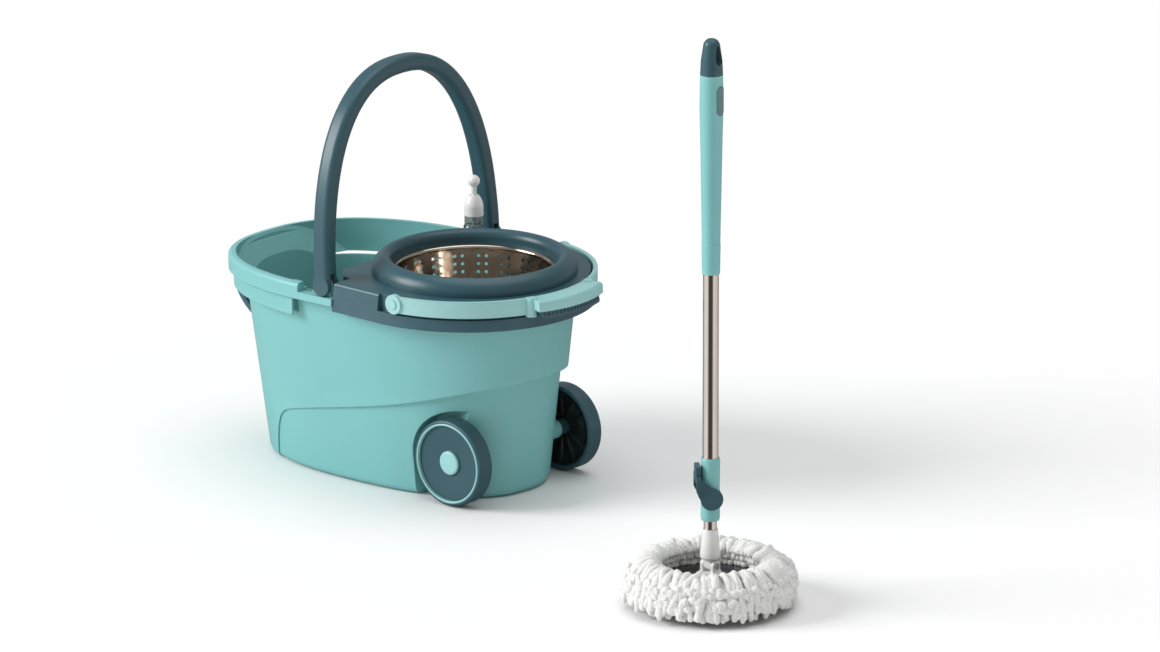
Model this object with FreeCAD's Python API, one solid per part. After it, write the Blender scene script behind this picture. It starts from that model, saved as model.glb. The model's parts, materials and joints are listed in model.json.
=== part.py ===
import FreeCAD, Part
import math
import os

# Spin mop: a bucket with a hand-pressed wringer basket, and its telescopic mop.
# Millimetres, +Z up. The origin is on the floor under the bucket's centre, +X points towards the
# wheels and the wringer, -X towards the pouring lip.

# ---- Bucket body ----
FLOOR_LEFT, FLOOR_RIGHT, FLOOR_HALF = -194.5, 188.0, 114.0   # lower body at the floor
RIM_LEFT, RIM_RIGHT, RIM_HALF = -230.0, 221.0, 146.0         # upper body at BODY_HEIGHT
BODY_HEIGHT = 258.0
WIDEST_X = -20.0            # where the body's outline is widest
SQUARENESS = 2.4            # exponent of the body's superellipse outline
WALL = 3.0
FLOOR_THICKNESS = 4.0
FLOOR_EDGE_RADIUS = 10.0
SHOULDER_STEP = 1.0         # how far the lower body stands inside the upper body, at the pouring end
SHOULDER_PINCH = 0.034      # the rest of the step, as a share of the width, at the wheel end
SHOULDER_STEP_END = 10.0    # the step across the wheel end
SHOULDER_LINE = [(-134, -6), (-127, 40), (-112, 66), (-86, 77), (-14, 94), (107, 122), (200, 146), (262, 152)]

# ---- Rim (pouring end) ----
LIP_OUT_LEFT, LIP_OUT_SIDE = 17.0, 12.5     # how far the rolled rim stands out from the body
LIP_WIDTH = 8.5                             # the raised lip across, up to the sunk ledge
LIP_LEFT, LIP_HALF = RIM_LEFT - LIP_OUT_LEFT, RIM_HALF + LIP_OUT_SIDE
LIP_RIGHT = RIM_RIGHT + LIP_OUT_SIDE
LIP_TOP, LIP_BOTTOM = BODY_HEIGHT - 6.0, BODY_HEIGHT - 26.0
LEDGE_TOP = LIP_TOP - 8.0               # sunk ledge inside the raised lip
RIM_FALL = 0.0215                       # the rim falls this much per mm towards the pouring lip
RIM_WALL = 3.0
LIP_ROUND, LIP_INNER_ROUND = 5.0, 3.0
NOTCH_LEFT = -45.0                      # the raised lip stops here to let the bail stand
NOTCH_TOP = LEDGE_TOP - 3.0

# ---- Pouring scoop, hollowed under the ledge at the pouring end ----
SCOOP_LOW_X, SCOOP_LOW_Z = RIM_LEFT + 9.0, LEDGE_TOP - 25.0     # its lowest point, inside the wall
SCOOP_SLOPE = 58.7                          # degrees up from level, along the scoop's bottom
SCOOP_RADIUS = 380.0
SCOOP_GAP = 0.4                             # kept between the scoop and the raised lip
SCOOP_CLEAR = 12.0                          # room cleared under its lowest point

# ---- Wringer deck ----
DECK_CENTRE_X = 88.0
DECK_BOTTOM, DECK_TOP = BODY_HEIGHT - 32.0, BODY_HEIGHT + 3.0
DECK_BOTTOM_RADIUS, DECK_TOP_RADIUS = RIM_HALF + 11.0, RIM_HALF + 6.5
DECK_EDGE_X = 9.5           # edge beside the bail's feet
DECK_EDGE_ROUND = 4.0
DECK_TONGUE_X = -21.0       # edge between the bail's feet
DECK_TONGUE_HALF = RIM_HALF - 22.0
DECK_TONGUE_CORNER = 20.0
DECK_TONGUE_LIFT = 4.0      # the tongue's underside stands this far over the ledge
DECK_WALL = 3.0
RECESS_START_X = 82.0       # the pull handle's recess in the deck's side
RECESS_RADIUS = DECK_BOTTOM_RADIUS - 8.0
RECESS_FLOOR = DECK_TOP - 21.0

# ---- Basket and its collar ----
BASKET_X = 100.0
COLLAR_MOUTH_RADIUS = 100.0
COLLAR_RADIUS = COLLAR_MOUTH_RADIUS + 24.0
COLLAR_HEIGHT = 21.0
COLLAR_TOP = DECK_TOP + COLLAR_HEIGHT
COLLAR_WALL = 3.0
BASKET_DEPTH = 96.0
BASKET_TOP = DECK_TOP + 1.0
BASKET_FLOOR = BASKET_TOP - BASKET_DEPTH
BASKET_TOP_RADIUS, BASKET_FLOOR_RADIUS = COLLAR_MOUTH_RADIUS - 5.0, COLLAR_MOUTH_RADIUS - 20.0
BASKET_WALL = 1.2
BASKET_BEAD = 2.2
HOLE_RADIUS = 2.1
HOLE_GROUPS, HOLE_COLUMNS, HOLE_ROWS = 20, 2, 3
HOLE_COLUMN_PITCH, HOLE_ROW_PITCH = 9.5, 9.5
HOLE_TOP_ROW = BASKET_TOP - 10.0
LOW_ROW_HOLES = 40
DRAIN_RINGS = [(34, 8), (50, 12), (66, 16)]     # radius and count of the floor's drain holes
DRAIN_RADIUS = 3.0
POST_RADIUS, POST_NECK_RADIUS = 22.0, 11.0
POST_TOP = BASKET_FLOOR - 16.0
POST_SEAT_WALL, POST_SEAT_TOP = 4.0, 16.0
PIVOT_RADIUS = 4.0
PIVOT_SUNK = 30.0           # the pivot pin's length in the post
PIVOT_RISE = 32.0           # and above the basket's floor
BUSH_WALL = 2.5
HUB_NECK_RADIUS, HUB_FLANGE_RADIUS = 12.0, 24.0
HUB_SCREW_CIRCLE, HUB_SCREW_RADIUS = 18.0, 3.2

# ---- Wheels ----
WHEEL_RADIUS, WHEEL_WIDTH = 53.0, 23.0
WHEEL_X, WHEEL_Z = 154.0, WHEEL_RADIUS + 0.3
WHEEL_INNER_Y = FLOOR_HALF - 26.0
RING_OUTER = WHEEL_RADIUS - 3.8
RING_INNER = RING_OUTER - 2.6
WELL_RADIUS, WELL_Y = WHEEL_RADIUS + 7.0, WHEEL_INNER_Y - 8.0
AXLE_RADIUS = 4.0
AXLE_INNER_Y = WHEEL_INNER_Y - 30.0
AXLE_GROOVE = 0.8           # depth of the clip's groove
BOSS_RADIUS = 12.0
WHEEL_HUB_RADIUS, WHEEL_HUB_STEP = 10.0, 3.0
HUB_FACE = WHEEL_WIDTH - 5.0
CAP_RADIUS = 14.6

# ---- Bail ----
BAIL_X, BAIL_PIVOT_Z = -8.5, NOTCH_TOP + 13.0
BAIL_HALF_SPAN = LIP_HALF - 11.5
BAIL_HEIGHT = 242.0         # pivot to the middle of the crown
BAIL_SQUARENESS = 2.35
BAIL_WIDTH, BAIL_DEPTH, BAIL_CORNER = 25.0, 20.5, 7.0
BAIL_LEAN = 3.5             # degrees off upright, towards the pouring lip
BAIL_EAR_THICKNESS = 6.5
BAIL_EAR_RADIUS = BAIL_WIDTH / 2 - 3.5
BAIL_PIN_RADIUS = 3.0
BAIL_PIN_COVER = 1.5        # the fork's wall over each end of the pin

# ---- Pull handle ----
PULL_X, PULL_Z = 108.0, DECK_TOP - 8.0
PULL_THICKNESS = 5.4
PULL_INNER_RADIUS = RECESS_RADIUS + 2.6
PULL_OUTER_RADIUS = PULL_INNER_RADIUS + PULL_THICKNESS
PULL_HEIGHT = 20.0
PULL_DISC_RADIUS = 12.0
PULL_LUG_RADIUS = 7.0
GRIP_HALF_ANGLE = 19.0      # degrees each side of +X
GRIP_BULGE = 22.0           # how far the grip stands out of the loop
GRIP_CENTRE_X = DECK_CENTRE_X + 38.0        # centre of the grip's tighter curve
GRIP_WALL, GRIP_ROUND = 4.0, 5.0
GRIP_PAD_HEIGHT = 7.0       # dark finger pad under the grip
GRIP_PAD_DROP = 2.5         # and how far it hangs below the loop
GRIP_NOTCHES, GRIP_NOTCH_PITCH = 9, 2.3     # notches each side of the middle, and degrees between them
GRIP_NOTCH_RADIUS, GRIP_NOTCH_DEPTH = 1.3, 5.0
PULL_PIN_RADIUS = 3.0
PULL_PIN_HEAD = 2.5
PULL_BOSS_RADIUS = 6.5

# ---- Pour grip under the rim ----
POUR_HALF = 48.0
POUR_TOP, POUR_LOW = LIP_BOTTOM - 17.0, LIP_BOTTOM - 82.0
POUR_REACH = 25.0
POUR_WALL = 4.5

# ---- Soap pump ----
PUMP_X, PUMP_Y = 4.0, DECK_TONGUE_HALF - 18.0
BOTTLE_RADIUS, BOTTLE_LENGTH = 12.8, 93.0
BOTTLE_TOP = DECK_TOP + 28.0
BOTTLE_BOTTOM = BOTTLE_TOP - BOTTLE_LENGTH
BOTTLE_WALL, NECK_STEP, NECK_HEIGHT = 1.4, 1.2, 12.0
CAP_TOP = BOTTLE_TOP + 25.0
BALL_Z, BALL_RADIUS = CAP_TOP + 18.0, 7.4
STEM_RADIUS, STEM_BORE = 3.4, 1.3
SPRING_WIRE, SPRING_RADIUS, SPRING_TURNS = 0.45, 3.4, 6
BARREL_RADIUS, BARREL_BORE = 6.5, 4.6

# ---- Mop ----
MOP_X, MOP_Y = 645.0, -197.0
PLATE_RADIUS, PLATE_BOTTOM, PLATE_THICKNESS = 78.0, 27.0, 4.0
PLATE_TOP = PLATE_BOTTOM + PLATE_THICKNESS
PLATE_BORE = 7.0
RING_DROP, RING_BORE = 4.5, 58.0            # the ring that holds the fringe under the plate
FRINGE_RADIUS, FRINGE_MOUTH, FRINGE_TOP = PLATE_RADIUS + 30.0, PLATE_RADIUS - 21.5, PLATE_TOP + 32.0
FRINGE_GAP, FRINGE_CURL, FRINGE_CORE = 0.3, 18.0, 26.0
HUB_RADIUS, HUB_HEIGHT = 18.0, 7.0
BEARING_RADIUS, BEARING_BORE, BEARING_HEIGHT = 10.2, 5.4, 3.0
YOKE_RADIUS, YOKE_THICKNESS = 13.0, 2.6
HINGE_Z = PLATE_TOP + 18.0
HINGE_PIN_RADIUS, HINGE_HEAD = 2.5, 1.3
EAR_GAP, EAR_THICKNESS, EAR_RADIUS = 12.0, 4.0, 6.5
SOCKET_BOTTOM, SOCKET_TOP = HINGE_Z + 8.0, HINGE_Z + 44.0
SOCKET_RADIUS, SOCKET_TOP_RADIUS = 12.0, 8.9
TUBE_WALL = 1.2
OUTER_TUBE_RADIUS = 9.3
INNER_TUBE_RADIUS = OUTER_TUBE_RADIUS - TUBE_WALL - 0.35
INNER_TUBE_BOTTOM, INNER_TUBE_TOP = SOCKET_BOTTOM + 13.0, 560.0
GRIP_TOP, GRIP_LENGTH = 644.0, 240.0
GRIP_BOTTOM = GRIP_TOP - GRIP_LENGTH
GRIP_LOW_RADIUS, GRIP_TOP_RADIUS = OUTER_TUBE_RADIUS + 1.3, OUTER_TUBE_RADIUS + 4.7
GRIP_CUFF = 36.0            # length of the grip's narrow cuff
OUTER_TUBE_BOTTOM, OUTER_TUBE_TOP = 124.0, GRIP_TOP - 4.0
CLAMP_BOTTOM, CLAMP_TOP = OUTER_TUBE_BOTTOM - 20.0, OUTER_TUBE_BOTTOM + 56.0
CLAMP_RADIUS = OUTER_TUBE_RADIUS + 2.0
CLAMP_BORE_GAP = 0.15
CAM_Z, CAM_RADIUS, CAM_THICKNESS = OUTER_TUBE_BOTTOM + 9.0, 13.3, 3.5
CAM_FACE = CLAMP_RADIUS + 1.2
CAM_AXIS_ANGLE = -42.0      # degrees from +X of the clamp lever's pivot axis
CAM_PIN_RADIUS, CAM_BOSS_RADIUS = 2.5, 6.0
LEVER_WEB_RISE = 18.5       # the web between the lever's cheeks starts this far above the cam's axis
LEVER_WEB_HEIGHT = 8.0
LEVER_HALF_WIDTH, LEVER_THICKNESS, LEVER_ROUND = 10.5, 5.5, 2.5
LEVER_TOP = CLAMP_TOP - 8.0
END_CAP_TOP = GRIP_TOP + 43.0
HANG_HOLE_LOW, HANG_HOLE_TOP = GRIP_TOP + 18.0, GRIP_TOP + 33.0
HANG_HOLE_RADIUS, HANG_HOLE_TOP_RADIUS = 5.5, 2.8
BADGE_Z, BADGE_HEIGHT, BADGE_WIDTH = GRIP_TOP - 30.0, 35.0, 13.0
BADGE_RAISE, BADGE_TURN = 0.45, 5.0
PLUG_DEPTH = 14.0
SPINDLE_WIDTH, SPINDLE_THICKNESS, SPINDLE_LEAD = 8.0, 3.0, 100.0
SPINDLE_BOTTOM = 200.0
SPINDLE_GRIPPED = 10.0      # length of the spindle inside the plug
NUT_HEIGHT, NUT_WALL, NUT_GAP = 8.0, 1.2, 0.3
NUT_BORE = 4.9              # clear hole for the spindle in the nut's housing

# ---- Fits ----
RUNNING_FIT = 0.08          # radial clearance of a pin or shaft that turns
SLIDING_GAP = 0.4           # gap between pieces that move past each other
FAR = 400.0                 # past any side of the part, for cutting tools

PARTS = {}
V = FreeCAD.Vector
Z_AXIS = V(0, 0, 1)
Y_AXIS = V(0, 1, 0)
X_AXIS = V(1, 0, 0)


def keep(name, shape):
    """Files a sub-part under its name."""
    PARTS[name] = shape


def fuse(shapes):
    """One solid from shapes that touch or overlap."""
    return shapes[0].multiFuse(shapes[1:]).removeSplitter()


def box(x0, x1, y0, y1, z0, z1):
    """A block between two corners."""
    return Part.makeBox(x1 - x0, y1 - y0, z1 - z0, V(x0, y0, z0))


def rod(radius, start, end):
    """A cylinder from point start to point end."""
    axis = end.sub(start)
    return Part.makeCylinder(radius, axis.Length, start, axis)


def tube(outer, inner, start, end):
    """A pipe from point start to point end."""
    return rod(outer, start, end).cut(rod(inner, start, end))


def profile(steps):
    """A closed wire in the XZ plane through (x, z) steps; four numbers give an arc's middle and end."""
    edges = []
    first = V(steps[0][0], 0, steps[0][1])
    here = first
    for step in steps[1:]:
        end = V(step[-2], 0, step[-1])
        if len(step) == 4:
            edges.append(Part.Arc(here, V(step[0], 0, step[1]), end).toShape())
        else:
            edges.append(Part.LineSegment(here, end).toShape())
        here = end
    if here.sub(first).Length > 1e-6:
        edges.append(Part.LineSegment(here, first).toShape())
    return Part.Wire(edges)


def turned(steps, x=0.0, y=0.0):
    """The profile of (radius, z) steps turned about the vertical line through (x, y)."""
    solid = Part.Face(profile(steps)).revolve(V(0, 0, 0), Z_AXIS, 360)
    solid.translate(V(x, y, 0))
    return solid


def along_y(shape, x, y, z, side):
    """Turns a shape built along +Z about the origin so that it points along side * Y, and places it."""
    shape.rotate(V(0, 0, 0), X_AXIS, -90 * side)
    shape.translate(V(x, y, z))
    return shape


def egg(z, left, right, half, pinch=0.0):
    """Closed outline at height z: two superellipse halves that meet where the body is widest.

    The pinch narrows the outline in proportion to the way from its left end to its right end.
    """
    points = []
    count = 28
    for i in range(count):
        angle = 2 * math.pi * i / count
        c, s = math.cos(angle), math.sin(angle)
        reach = right - WIDEST_X if c > 0 else WIDEST_X - left
        power = 2 / SQUARENESS
        x = WIDEST_X + math.copysign(reach * abs(c) ** power, c)
        narrowed = half * (1 - pinch * (x - left) / (right - left))
        points.append(V(x, math.copysign(narrowed * abs(s) ** power, s), z))
    curve = Part.BSplineCurve()
    curve.interpolate(Points=points, PeriodicFlag=True)
    return Part.Wire(curve.toShape())


def upright(radius, x, y, z0, z1):
    """A vertical rod between two heights."""
    return rod(radius, V(x, y, z0), V(x, y, z1))


def top_edges(shape, z):
    """The shape's edges that lie at height z or above it."""
    return [e for e in shape.Edges if e.BoundBox.ZMin > z - 0.01]


def prism(wire, z0, z1):
    """The wire's area, raised from z0 to z1."""
    face = Part.Face(wire)
    face.translate(V(0, 0, z0 - wire.BoundBox.ZMin))
    return face.extrude(V(0, 0, z1 - z0))


# ---------------------------------------------------------------- bucket

def body_size(z, step_side, step_end):
    """Left, right and half width of the body at height z, with the lower body's steps taken off."""
    share = z / BODY_HEIGHT
    left = FLOOR_LEFT - SHOULDER_STEP + (RIM_LEFT - FLOOR_LEFT + SHOULDER_STEP) * share
    right = FLOOR_RIGHT + SHOULDER_STEP_END + (RIM_RIGHT - FLOOR_RIGHT - SHOULDER_STEP_END) * share
    half = FLOOR_HALF + SHOULDER_STEP + (RIM_HALF - FLOOR_HALF - SHOULDER_STEP) * share
    return left + step_side, right - step_end, half - step_side


def body_loft(inset, step_side, step_end, bottom, top, pinch=0.0):
    """The tapered body between two heights, inset on all sides, with its floor edge rounded."""
    wires = []
    for z in (bottom, top):
        left, right, half = body_size(z, step_side, step_end)
        wires.append(egg(z, left + inset, right - inset, half - inset, pinch))
    solid = Part.makeLoft(wires, True, True)
    edges = [e for e in solid.Edges if e.BoundBox.ZMax < bottom + 0.01]
    return solid.makeFillet(FLOOR_EDGE_RADIUS - inset, edges)


def shoulder_tool(inset):
    """Everything under the shoulder line, which is raised and moved by the inset."""
    points = [V(x - inset, -300, z + inset) for x, z in SHOULDER_LINE]
    curve = Part.BSplineCurve()
    curve.interpolate(points)
    low = V(points[-1].x, -300, -20)
    corner = V(points[0].x, -300, -20)
    legs = [(points[-1], low), (low, corner), (corner, points[0])]
    wire = Part.Wire([curve.toShape()] + [Part.LineSegment(start, end).toShape() for start, end in legs])
    return Part.Face(wire).extrude(V(0, 600, 0))


def body_solid(inset, bottom, top):
    """The body's outside, or with an inset its inside: the wide upper part over the stepped-in lower part."""
    upper = body_loft(inset, 0, 0, bottom, top).cut(shoulder_tool(inset))
    lower = body_loft(inset, SHOULDER_STEP, SHOULDER_STEP_END, bottom, top, SHOULDER_PINCH)
    return upper.fuse(lower)


def wheel_well(side, grow):
    """The pocket round one wheel; grow makes it larger on every side."""
    radius = WELL_RADIUS + grow
    y0, y1 = WELL_Y - grow, 200
    round_part = rod(radius, V(WHEEL_X, side * y0, WHEEL_Z), V(WHEEL_X, side * y1, WHEEL_Z))
    low_y, high_y = sorted((side * y0, side * y1))
    leg = box(WHEEL_X - radius, WHEEL_X + radius + 40, low_y, high_y, -20, WHEEL_Z)
    return round_part.fuse(leg)


def tilted(shape):
    """Tips a level rim shape about the deck's edge so that it falls towards the pouring lip."""
    shape.rotate(V(DECK_EDGE_X, 0, LEDGE_TOP), Y_AXIS, -math.degrees(math.atan(RIM_FALL)))
    return shape


def lip_plan(inset):
    """The rim's level outline, moved inwards by the inset."""
    return egg(0, LIP_LEFT + inset, LIP_RIGHT - inset, LIP_HALF - inset)


def rim():
    """The rolled rim of the pouring end: outer lip, raised top, sunk ledge and the bail's notches."""
    side = LIP_HALF + 50
    outer = prism(lip_plan(0), LIP_BOTTOM, LIP_TOP)
    outer = outer.makeFillet(LIP_ROUND, top_edges(outer, LIP_TOP))
    hollow = prism(lip_plan(RIM_WALL), LIP_BOTTOM - 5, LIP_TOP - RIM_WALL)
    hollow = hollow.makeFillet(LIP_INNER_ROUND, top_edges(hollow, LIP_TOP - RIM_WALL))
    hollow = hollow.cut(prism(lip_plan(LIP_WIDTH), LIP_BOTTOM - 6, LIP_TOP))
    inner = prism(lip_plan(LIP_WIDTH), LIP_BOTTOM - 5, LEDGE_TOP - RIM_WALL)
    sunk = prism(lip_plan(LIP_WIDTH + RIM_WALL), LEDGE_TOP, LIP_TOP + 5)
    shape = outer.cut(hollow).cut(inner).cut(sunk)
    notch = box(NOTCH_LEFT, DECK_EDGE_X + 300, -side, side, NOTCH_TOP, LIP_TOP + 5)
    plate = prism(lip_plan(1.0), NOTCH_TOP - RIM_WALL, NOTCH_TOP)
    plate = plate.common(box(NOTCH_LEFT - RIM_WALL, DECK_EDGE_X + 5, -side, side, 0, FAR))
    stop = prism(lip_plan(1.0), NOTCH_TOP - RIM_WALL, LIP_TOP - 2)
    stop = stop.common(box(NOTCH_LEFT - RIM_WALL, NOTCH_LEFT, -side, side, 0, FAR))
    stop = stop.cut(prism(lip_plan(LIP_WIDTH + RIM_WALL), LEDGE_TOP, LIP_TOP))
    shape = shape.cut(notch).fuse(plate).fuse(stop)
    return tilted(shape).common(box(-FAR, DECK_EDGE_X, -side, side, 0, FAR))


def scoop(grow):
    """The round trough of the pouring scoop, inside the raised lip; grow makes it larger all round."""
    slope = math.radians(SCOOP_SLOPE)
    along = V(-math.cos(slope), 0, math.sin(slope))
    inward = V(math.sin(slope), 0, math.cos(slope))
    middle = V(SCOOP_LOW_X, 0, SCOOP_LOW_Z).add(inward * SCOOP_RADIUS)
    trough = rod(SCOOP_RADIUS + grow, middle.sub(along * 120), middle.add(along * 120))
    low, high = SCOOP_LOW_Z - SCOOP_CLEAR, LIP_TOP + 5
    within = prism(lip_plan(LIP_WIDTH + SCOOP_GAP - grow), low, high)
    trough = trough.common(box(LIP_LEFT, WIDEST_X - 40, -LIP_HALF, LIP_HALF, low, high))
    return trough.common(tilted(within))


def bail_ear(side):
    """One ear on the rim's notch, which the bail's fork turns on."""
    y = side * BAIL_HALF_SPAN
    half = BAIL_EAR_THICKNESS / 2
    radius = BAIL_EAR_RADIUS
    pivot = BAIL_PIVOT_Z
    ear = rod(radius, V(BAIL_X, y - half, pivot), V(BAIL_X, y + half, pivot))
    ear = ear.fuse(box(BAIL_X - radius, BAIL_X + radius, y - half, y + half, NOTCH_TOP - 2, pivot))
    bore_end = half + 1
    return ear.cut(rod(BAIL_PIN_RADIUS + RUNNING_FIT, V(BAIL_X, y - bore_end, pivot), V(BAIL_X, y + bore_end, pivot)))


def bucket_shell():
    """The moulded bucket: tapered body, wheel wells, rolled rim, scoop, bail ears and axle bosses."""
    wells = wheel_well(1, 0).fuse(wheel_well(-1, 0))
    above_ledge = tilted(box(-FAR, DECK_EDGE_X, -FAR, FAR, LEDGE_TOP, BODY_HEIGHT + 20))
    notch = box(NOTCH_LEFT, DECK_EDGE_X, -FAR, FAR, NOTCH_TOP, BODY_HEIGHT + 5)
    outer = body_solid(0, 0, BODY_HEIGHT).cut(wells).cut(above_ledge).cut(notch)
    cavity = body_solid(WALL, FLOOR_THICKNESS, BODY_HEIGHT + 12)
    cavity = cavity.cut(wheel_well(1, WALL)).cut(wheel_well(-1, WALL))
    under_ledge = tilted(box(LIP_LEFT, WIDEST_X, -LIP_HALF, LIP_HALF, 0, LEDGE_TOP - RIM_WALL))
    inside = body_loft(WALL + 0.5, 0, 0, FLOOR_THICKNESS, BODY_HEIGHT + 12)
    backing = scoop(RIM_WALL).common(under_ledge).cut(inside)
    shell = outer.fuse(rim()).fuse(backing).cut(cavity).cut(scoop(0))
    for side in (1, -1):
        inner = V(WHEEL_X, side * (AXLE_INNER_Y - WALL), WHEEL_Z)
        face = V(WHEEL_X, side * (WHEEL_INNER_Y - 4), WHEEL_Z)
        boss = rod(BOSS_RADIUS, inner, face)
        bore = rod(AXLE_RADIUS, V(WHEEL_X, side * AXLE_INNER_Y, WHEEL_Z), V(WHEEL_X, side * FAR, WHEEL_Z))
        shell = shell.fuse(boss).fuse(bail_ear(side)).cut(bore)
    seat = tube(POST_RADIUS + POST_SEAT_WALL, POST_RADIUS, V(BASKET_X, 0, FLOOR_THICKNESS - 1),
                V(BASKET_X, 0, POST_SEAT_TOP))
    return shell.fuse(seat)


def pour_grip():
    """The hollow finger strap under the rim at the pouring end."""
    left_top = body_size(POUR_TOP, 0, 0)[0]
    left_low = body_size(POUR_LOW, 0, 0)[0]
    middle = (POUR_TOP + POUR_LOW) / 2
    outer = profile([(left_top + 2, POUR_TOP),
                     (left_top - POUR_REACH * 0.72, POUR_TOP - 9, left_top - POUR_REACH, middle + 4),
                     (left_low - POUR_REACH * 0.62, POUR_LOW + 12, left_low + 3, POUR_LOW)])
    inner = profile([(left_top + 2, POUR_TOP - POUR_WALL),
                     (left_top - POUR_REACH * 0.6, POUR_TOP - 14,
                      left_top - POUR_REACH + POUR_WALL, middle + 4),
                     (left_low - POUR_REACH * 0.45, POUR_LOW + 17, left_low + 3, POUR_LOW + POUR_WALL)])
    strap = Part.Face(outer).extrude(V(0, 2 * POUR_HALF, 0))
    strap.translate(V(0, -POUR_HALF, 0))
    room = Part.Face(inner).extrude(V(0, 400, 0))
    room.translate(V(0, -200, 0))
    return strap.cut(room).cut(body_loft(0, 0, 0, 0, BODY_HEIGHT))


# ---------------------------------------------------------------- deck, collar, basket

def deck_plan(z, radius, left):
    """The deck's outline: a half round wheel end with straight sides."""
    x = DECK_CENTRE_X
    return Part.Wire([Part.LineSegment(V(left, -radius, z), V(x, -radius, z)).toShape(),
                      Part.Arc(V(x, -radius, z), V(x + radius, 0, z), V(x, radius, z)).toShape(),
                      Part.LineSegment(V(x, radius, z), V(left, radius, z)).toShape(),
                      Part.LineSegment(V(left, radius, z), V(left, -radius, z)).toShape()])


def deck_block(inset, bottom, top, left):
    """The deck's tapered block between two heights, inset on its sides."""
    slope = (DECK_TOP_RADIUS - DECK_BOTTOM_RADIUS) / (DECK_TOP - DECK_BOTTOM)
    radii = [DECK_BOTTOM_RADIUS + slope * (z - DECK_BOTTOM) - inset for z in (bottom, top)]
    return Part.makeLoft([deck_plan(bottom, radii[0], left), deck_plan(top, radii[1], left)], True, True)


def tongue_block(inset, bottom, top):
    """The deck's tongue between the bail's feet, with cut corners, and the round end under the collar."""
    left, half, corner = DECK_TONGUE_X + inset, DECK_TONGUE_HALF - inset, DECK_TONGUE_CORNER
    right = DECK_EDGE_X + 6
    plan = [(right, -half - 4), (left + corner, -half), (left, -half + corner)]
    plan += [(left, half - corner), (left + corner, half), (right, half + 4), (right, -half - 4)]
    block = Part.Face(Part.makePolygon([V(x, y, bottom) for x, y in plan])).extrude(V(0, 0, top - bottom))
    round_end = rod(COLLAR_RADIUS + 0.5 - inset, V(BASKET_X, 0, bottom), V(BASKET_X, 0, top))
    return block.fuse(round_end)


def at_deck(radius, z0, z1):
    """A vertical rod about the centre of the deck's round end."""
    return upright(radius, DECK_CENTRE_X, 0, z0, z1)


def pull_recess():
    """The wall, shelf and end cheeks of the pull handle's recess round the deck's side."""
    side = RECESS_RADIUS + 60
    low = RECESS_FLOOR - DECK_WALL
    inner = RECESS_RADIUS - DECK_WALL
    backing = at_deck(RECESS_RADIUS, low, DECK_TOP - 1).cut(at_deck(inner, low, DECK_TOP - 1))
    shelf = at_deck(DECK_BOTTOM_RADIUS - 2.5, low, RECESS_FLOOR).cut(at_deck(inner, low, RECESS_FLOOR))
    right_part = box(RECESS_START_X - DECK_WALL, FAR, -side, side, 0, FAR)
    cheeks = deck_block(1.0, low, DECK_TOP - 1, DECK_EDGE_X + 1)
    cheeks = cheeks.common(box(RECESS_START_X - DECK_WALL, RECESS_START_X, -side, side, 0, FAR))
    cheeks = cheeks.cut(box(0, 200, -RECESS_RADIUS + 3, RECESS_RADIUS - 3, 0, FAR))
    return [backing.common(right_part), shelf.common(right_part), cheeks]


def wringer_deck():
    """The dark deck over the bucket's wheel end, with the tongue that carries the soap pump."""
    outer = deck_block(0, DECK_BOTTOM, DECK_TOP, DECK_EDGE_X)
    outer = outer.makeFillet(DECK_EDGE_ROUND, top_edges(outer, DECK_TOP))
    hollow = deck_block(DECK_WALL, DECK_BOTTOM - 5, DECK_TOP - DECK_WALL, DECK_EDGE_X + DECK_WALL)
    tongue = tongue_block(0, LEDGE_TOP + DECK_TONGUE_LIFT, DECK_TOP)
    under = tongue_block(DECK_WALL, LEDGE_TOP, DECK_TOP - DECK_WALL)
    recess = prism(deck_plan(0, FAR, RECESS_START_X), RECESS_FLOOR, DECK_TOP + 5)
    deck = outer.cut(hollow).fuse(tongue.cut(under)).cut(under)
    deck = deck.cut(recess.cut(at_deck(RECESS_RADIUS, 0, FAR)))
    for piece in pull_recess():
        deck = deck.fuse(piece)
    half = RIM_HALF + 3
    deck = deck.cut(box(DECK_EDGE_X - 3, DECK_EDGE_X + DECK_WALL + 0.1, -half, half, 0, DECK_TOP - DECK_WALL))
    mouth = upright(COLLAR_MOUTH_RADIUS + 3.2, BASKET_X, 0, 0, FAR)
    bottle = upright(BOTTLE_RADIUS + 0.3, PUMP_X, PUMP_Y, 0, FAR)
    body_wall = body_loft(0, 0, 0, 0, BODY_HEIGHT)
    body_wall = body_wall.cut(body_loft(WALL, 0, 0, FLOOR_THICKNESS, BODY_HEIGHT + 1))
    deck = deck.cut(mouth).cut(bottle).cut(body_wall)
    for side in (1, -1):
        pin = rod(PULL_PIN_RADIUS, V(PULL_X, side * (RECESS_RADIUS - 19), PULL_Z),
                  V(PULL_X, side * (PULL_OUTER_RADIUS + 13), PULL_Z))
        pad = rod(PULL_BOSS_RADIUS, V(PULL_X, side * (RECESS_RADIUS - 9), PULL_Z),
                  V(PULL_X, side * (RECESS_RADIUS - 2.2), PULL_Z))
        deck = deck.fuse(pad).cut(pin)
    return deck


def splash_collar():
    """The round bulging collar about the basket's mouth, open underneath."""
    crest = COLLAR_TOP
    mouth = COLLAR_MOUTH_RADIUS
    base = DECK_TOP
    wall = COLLAR_WALL
    return turned([(COLLAR_RADIUS, base), (COLLAR_RADIUS - 3.6, base + 14, mouth + 11, crest),
                   (mouth + 2.6, crest - 3, mouth, crest - 11), (mouth, base - 6), (mouth + wall, base - 6),
                   (mouth + wall, crest - 12), (mouth + 5, crest - 5.4, mouth + 11, crest - wall),
                   (COLLAR_RADIUS - 6.2, base + 12.6, COLLAR_RADIUS - wall, base)], BASKET_X, 0)


def basket_radius(z):
    """Outer radius of the basket's wall at height z."""
    share = (z - BASKET_FLOOR) / (BASKET_TOP - BASKET_FLOOR)
    return BASKET_FLOOR_RADIUS + (BASKET_TOP_RADIUS - BASKET_FLOOR_RADIUS) * share


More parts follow.
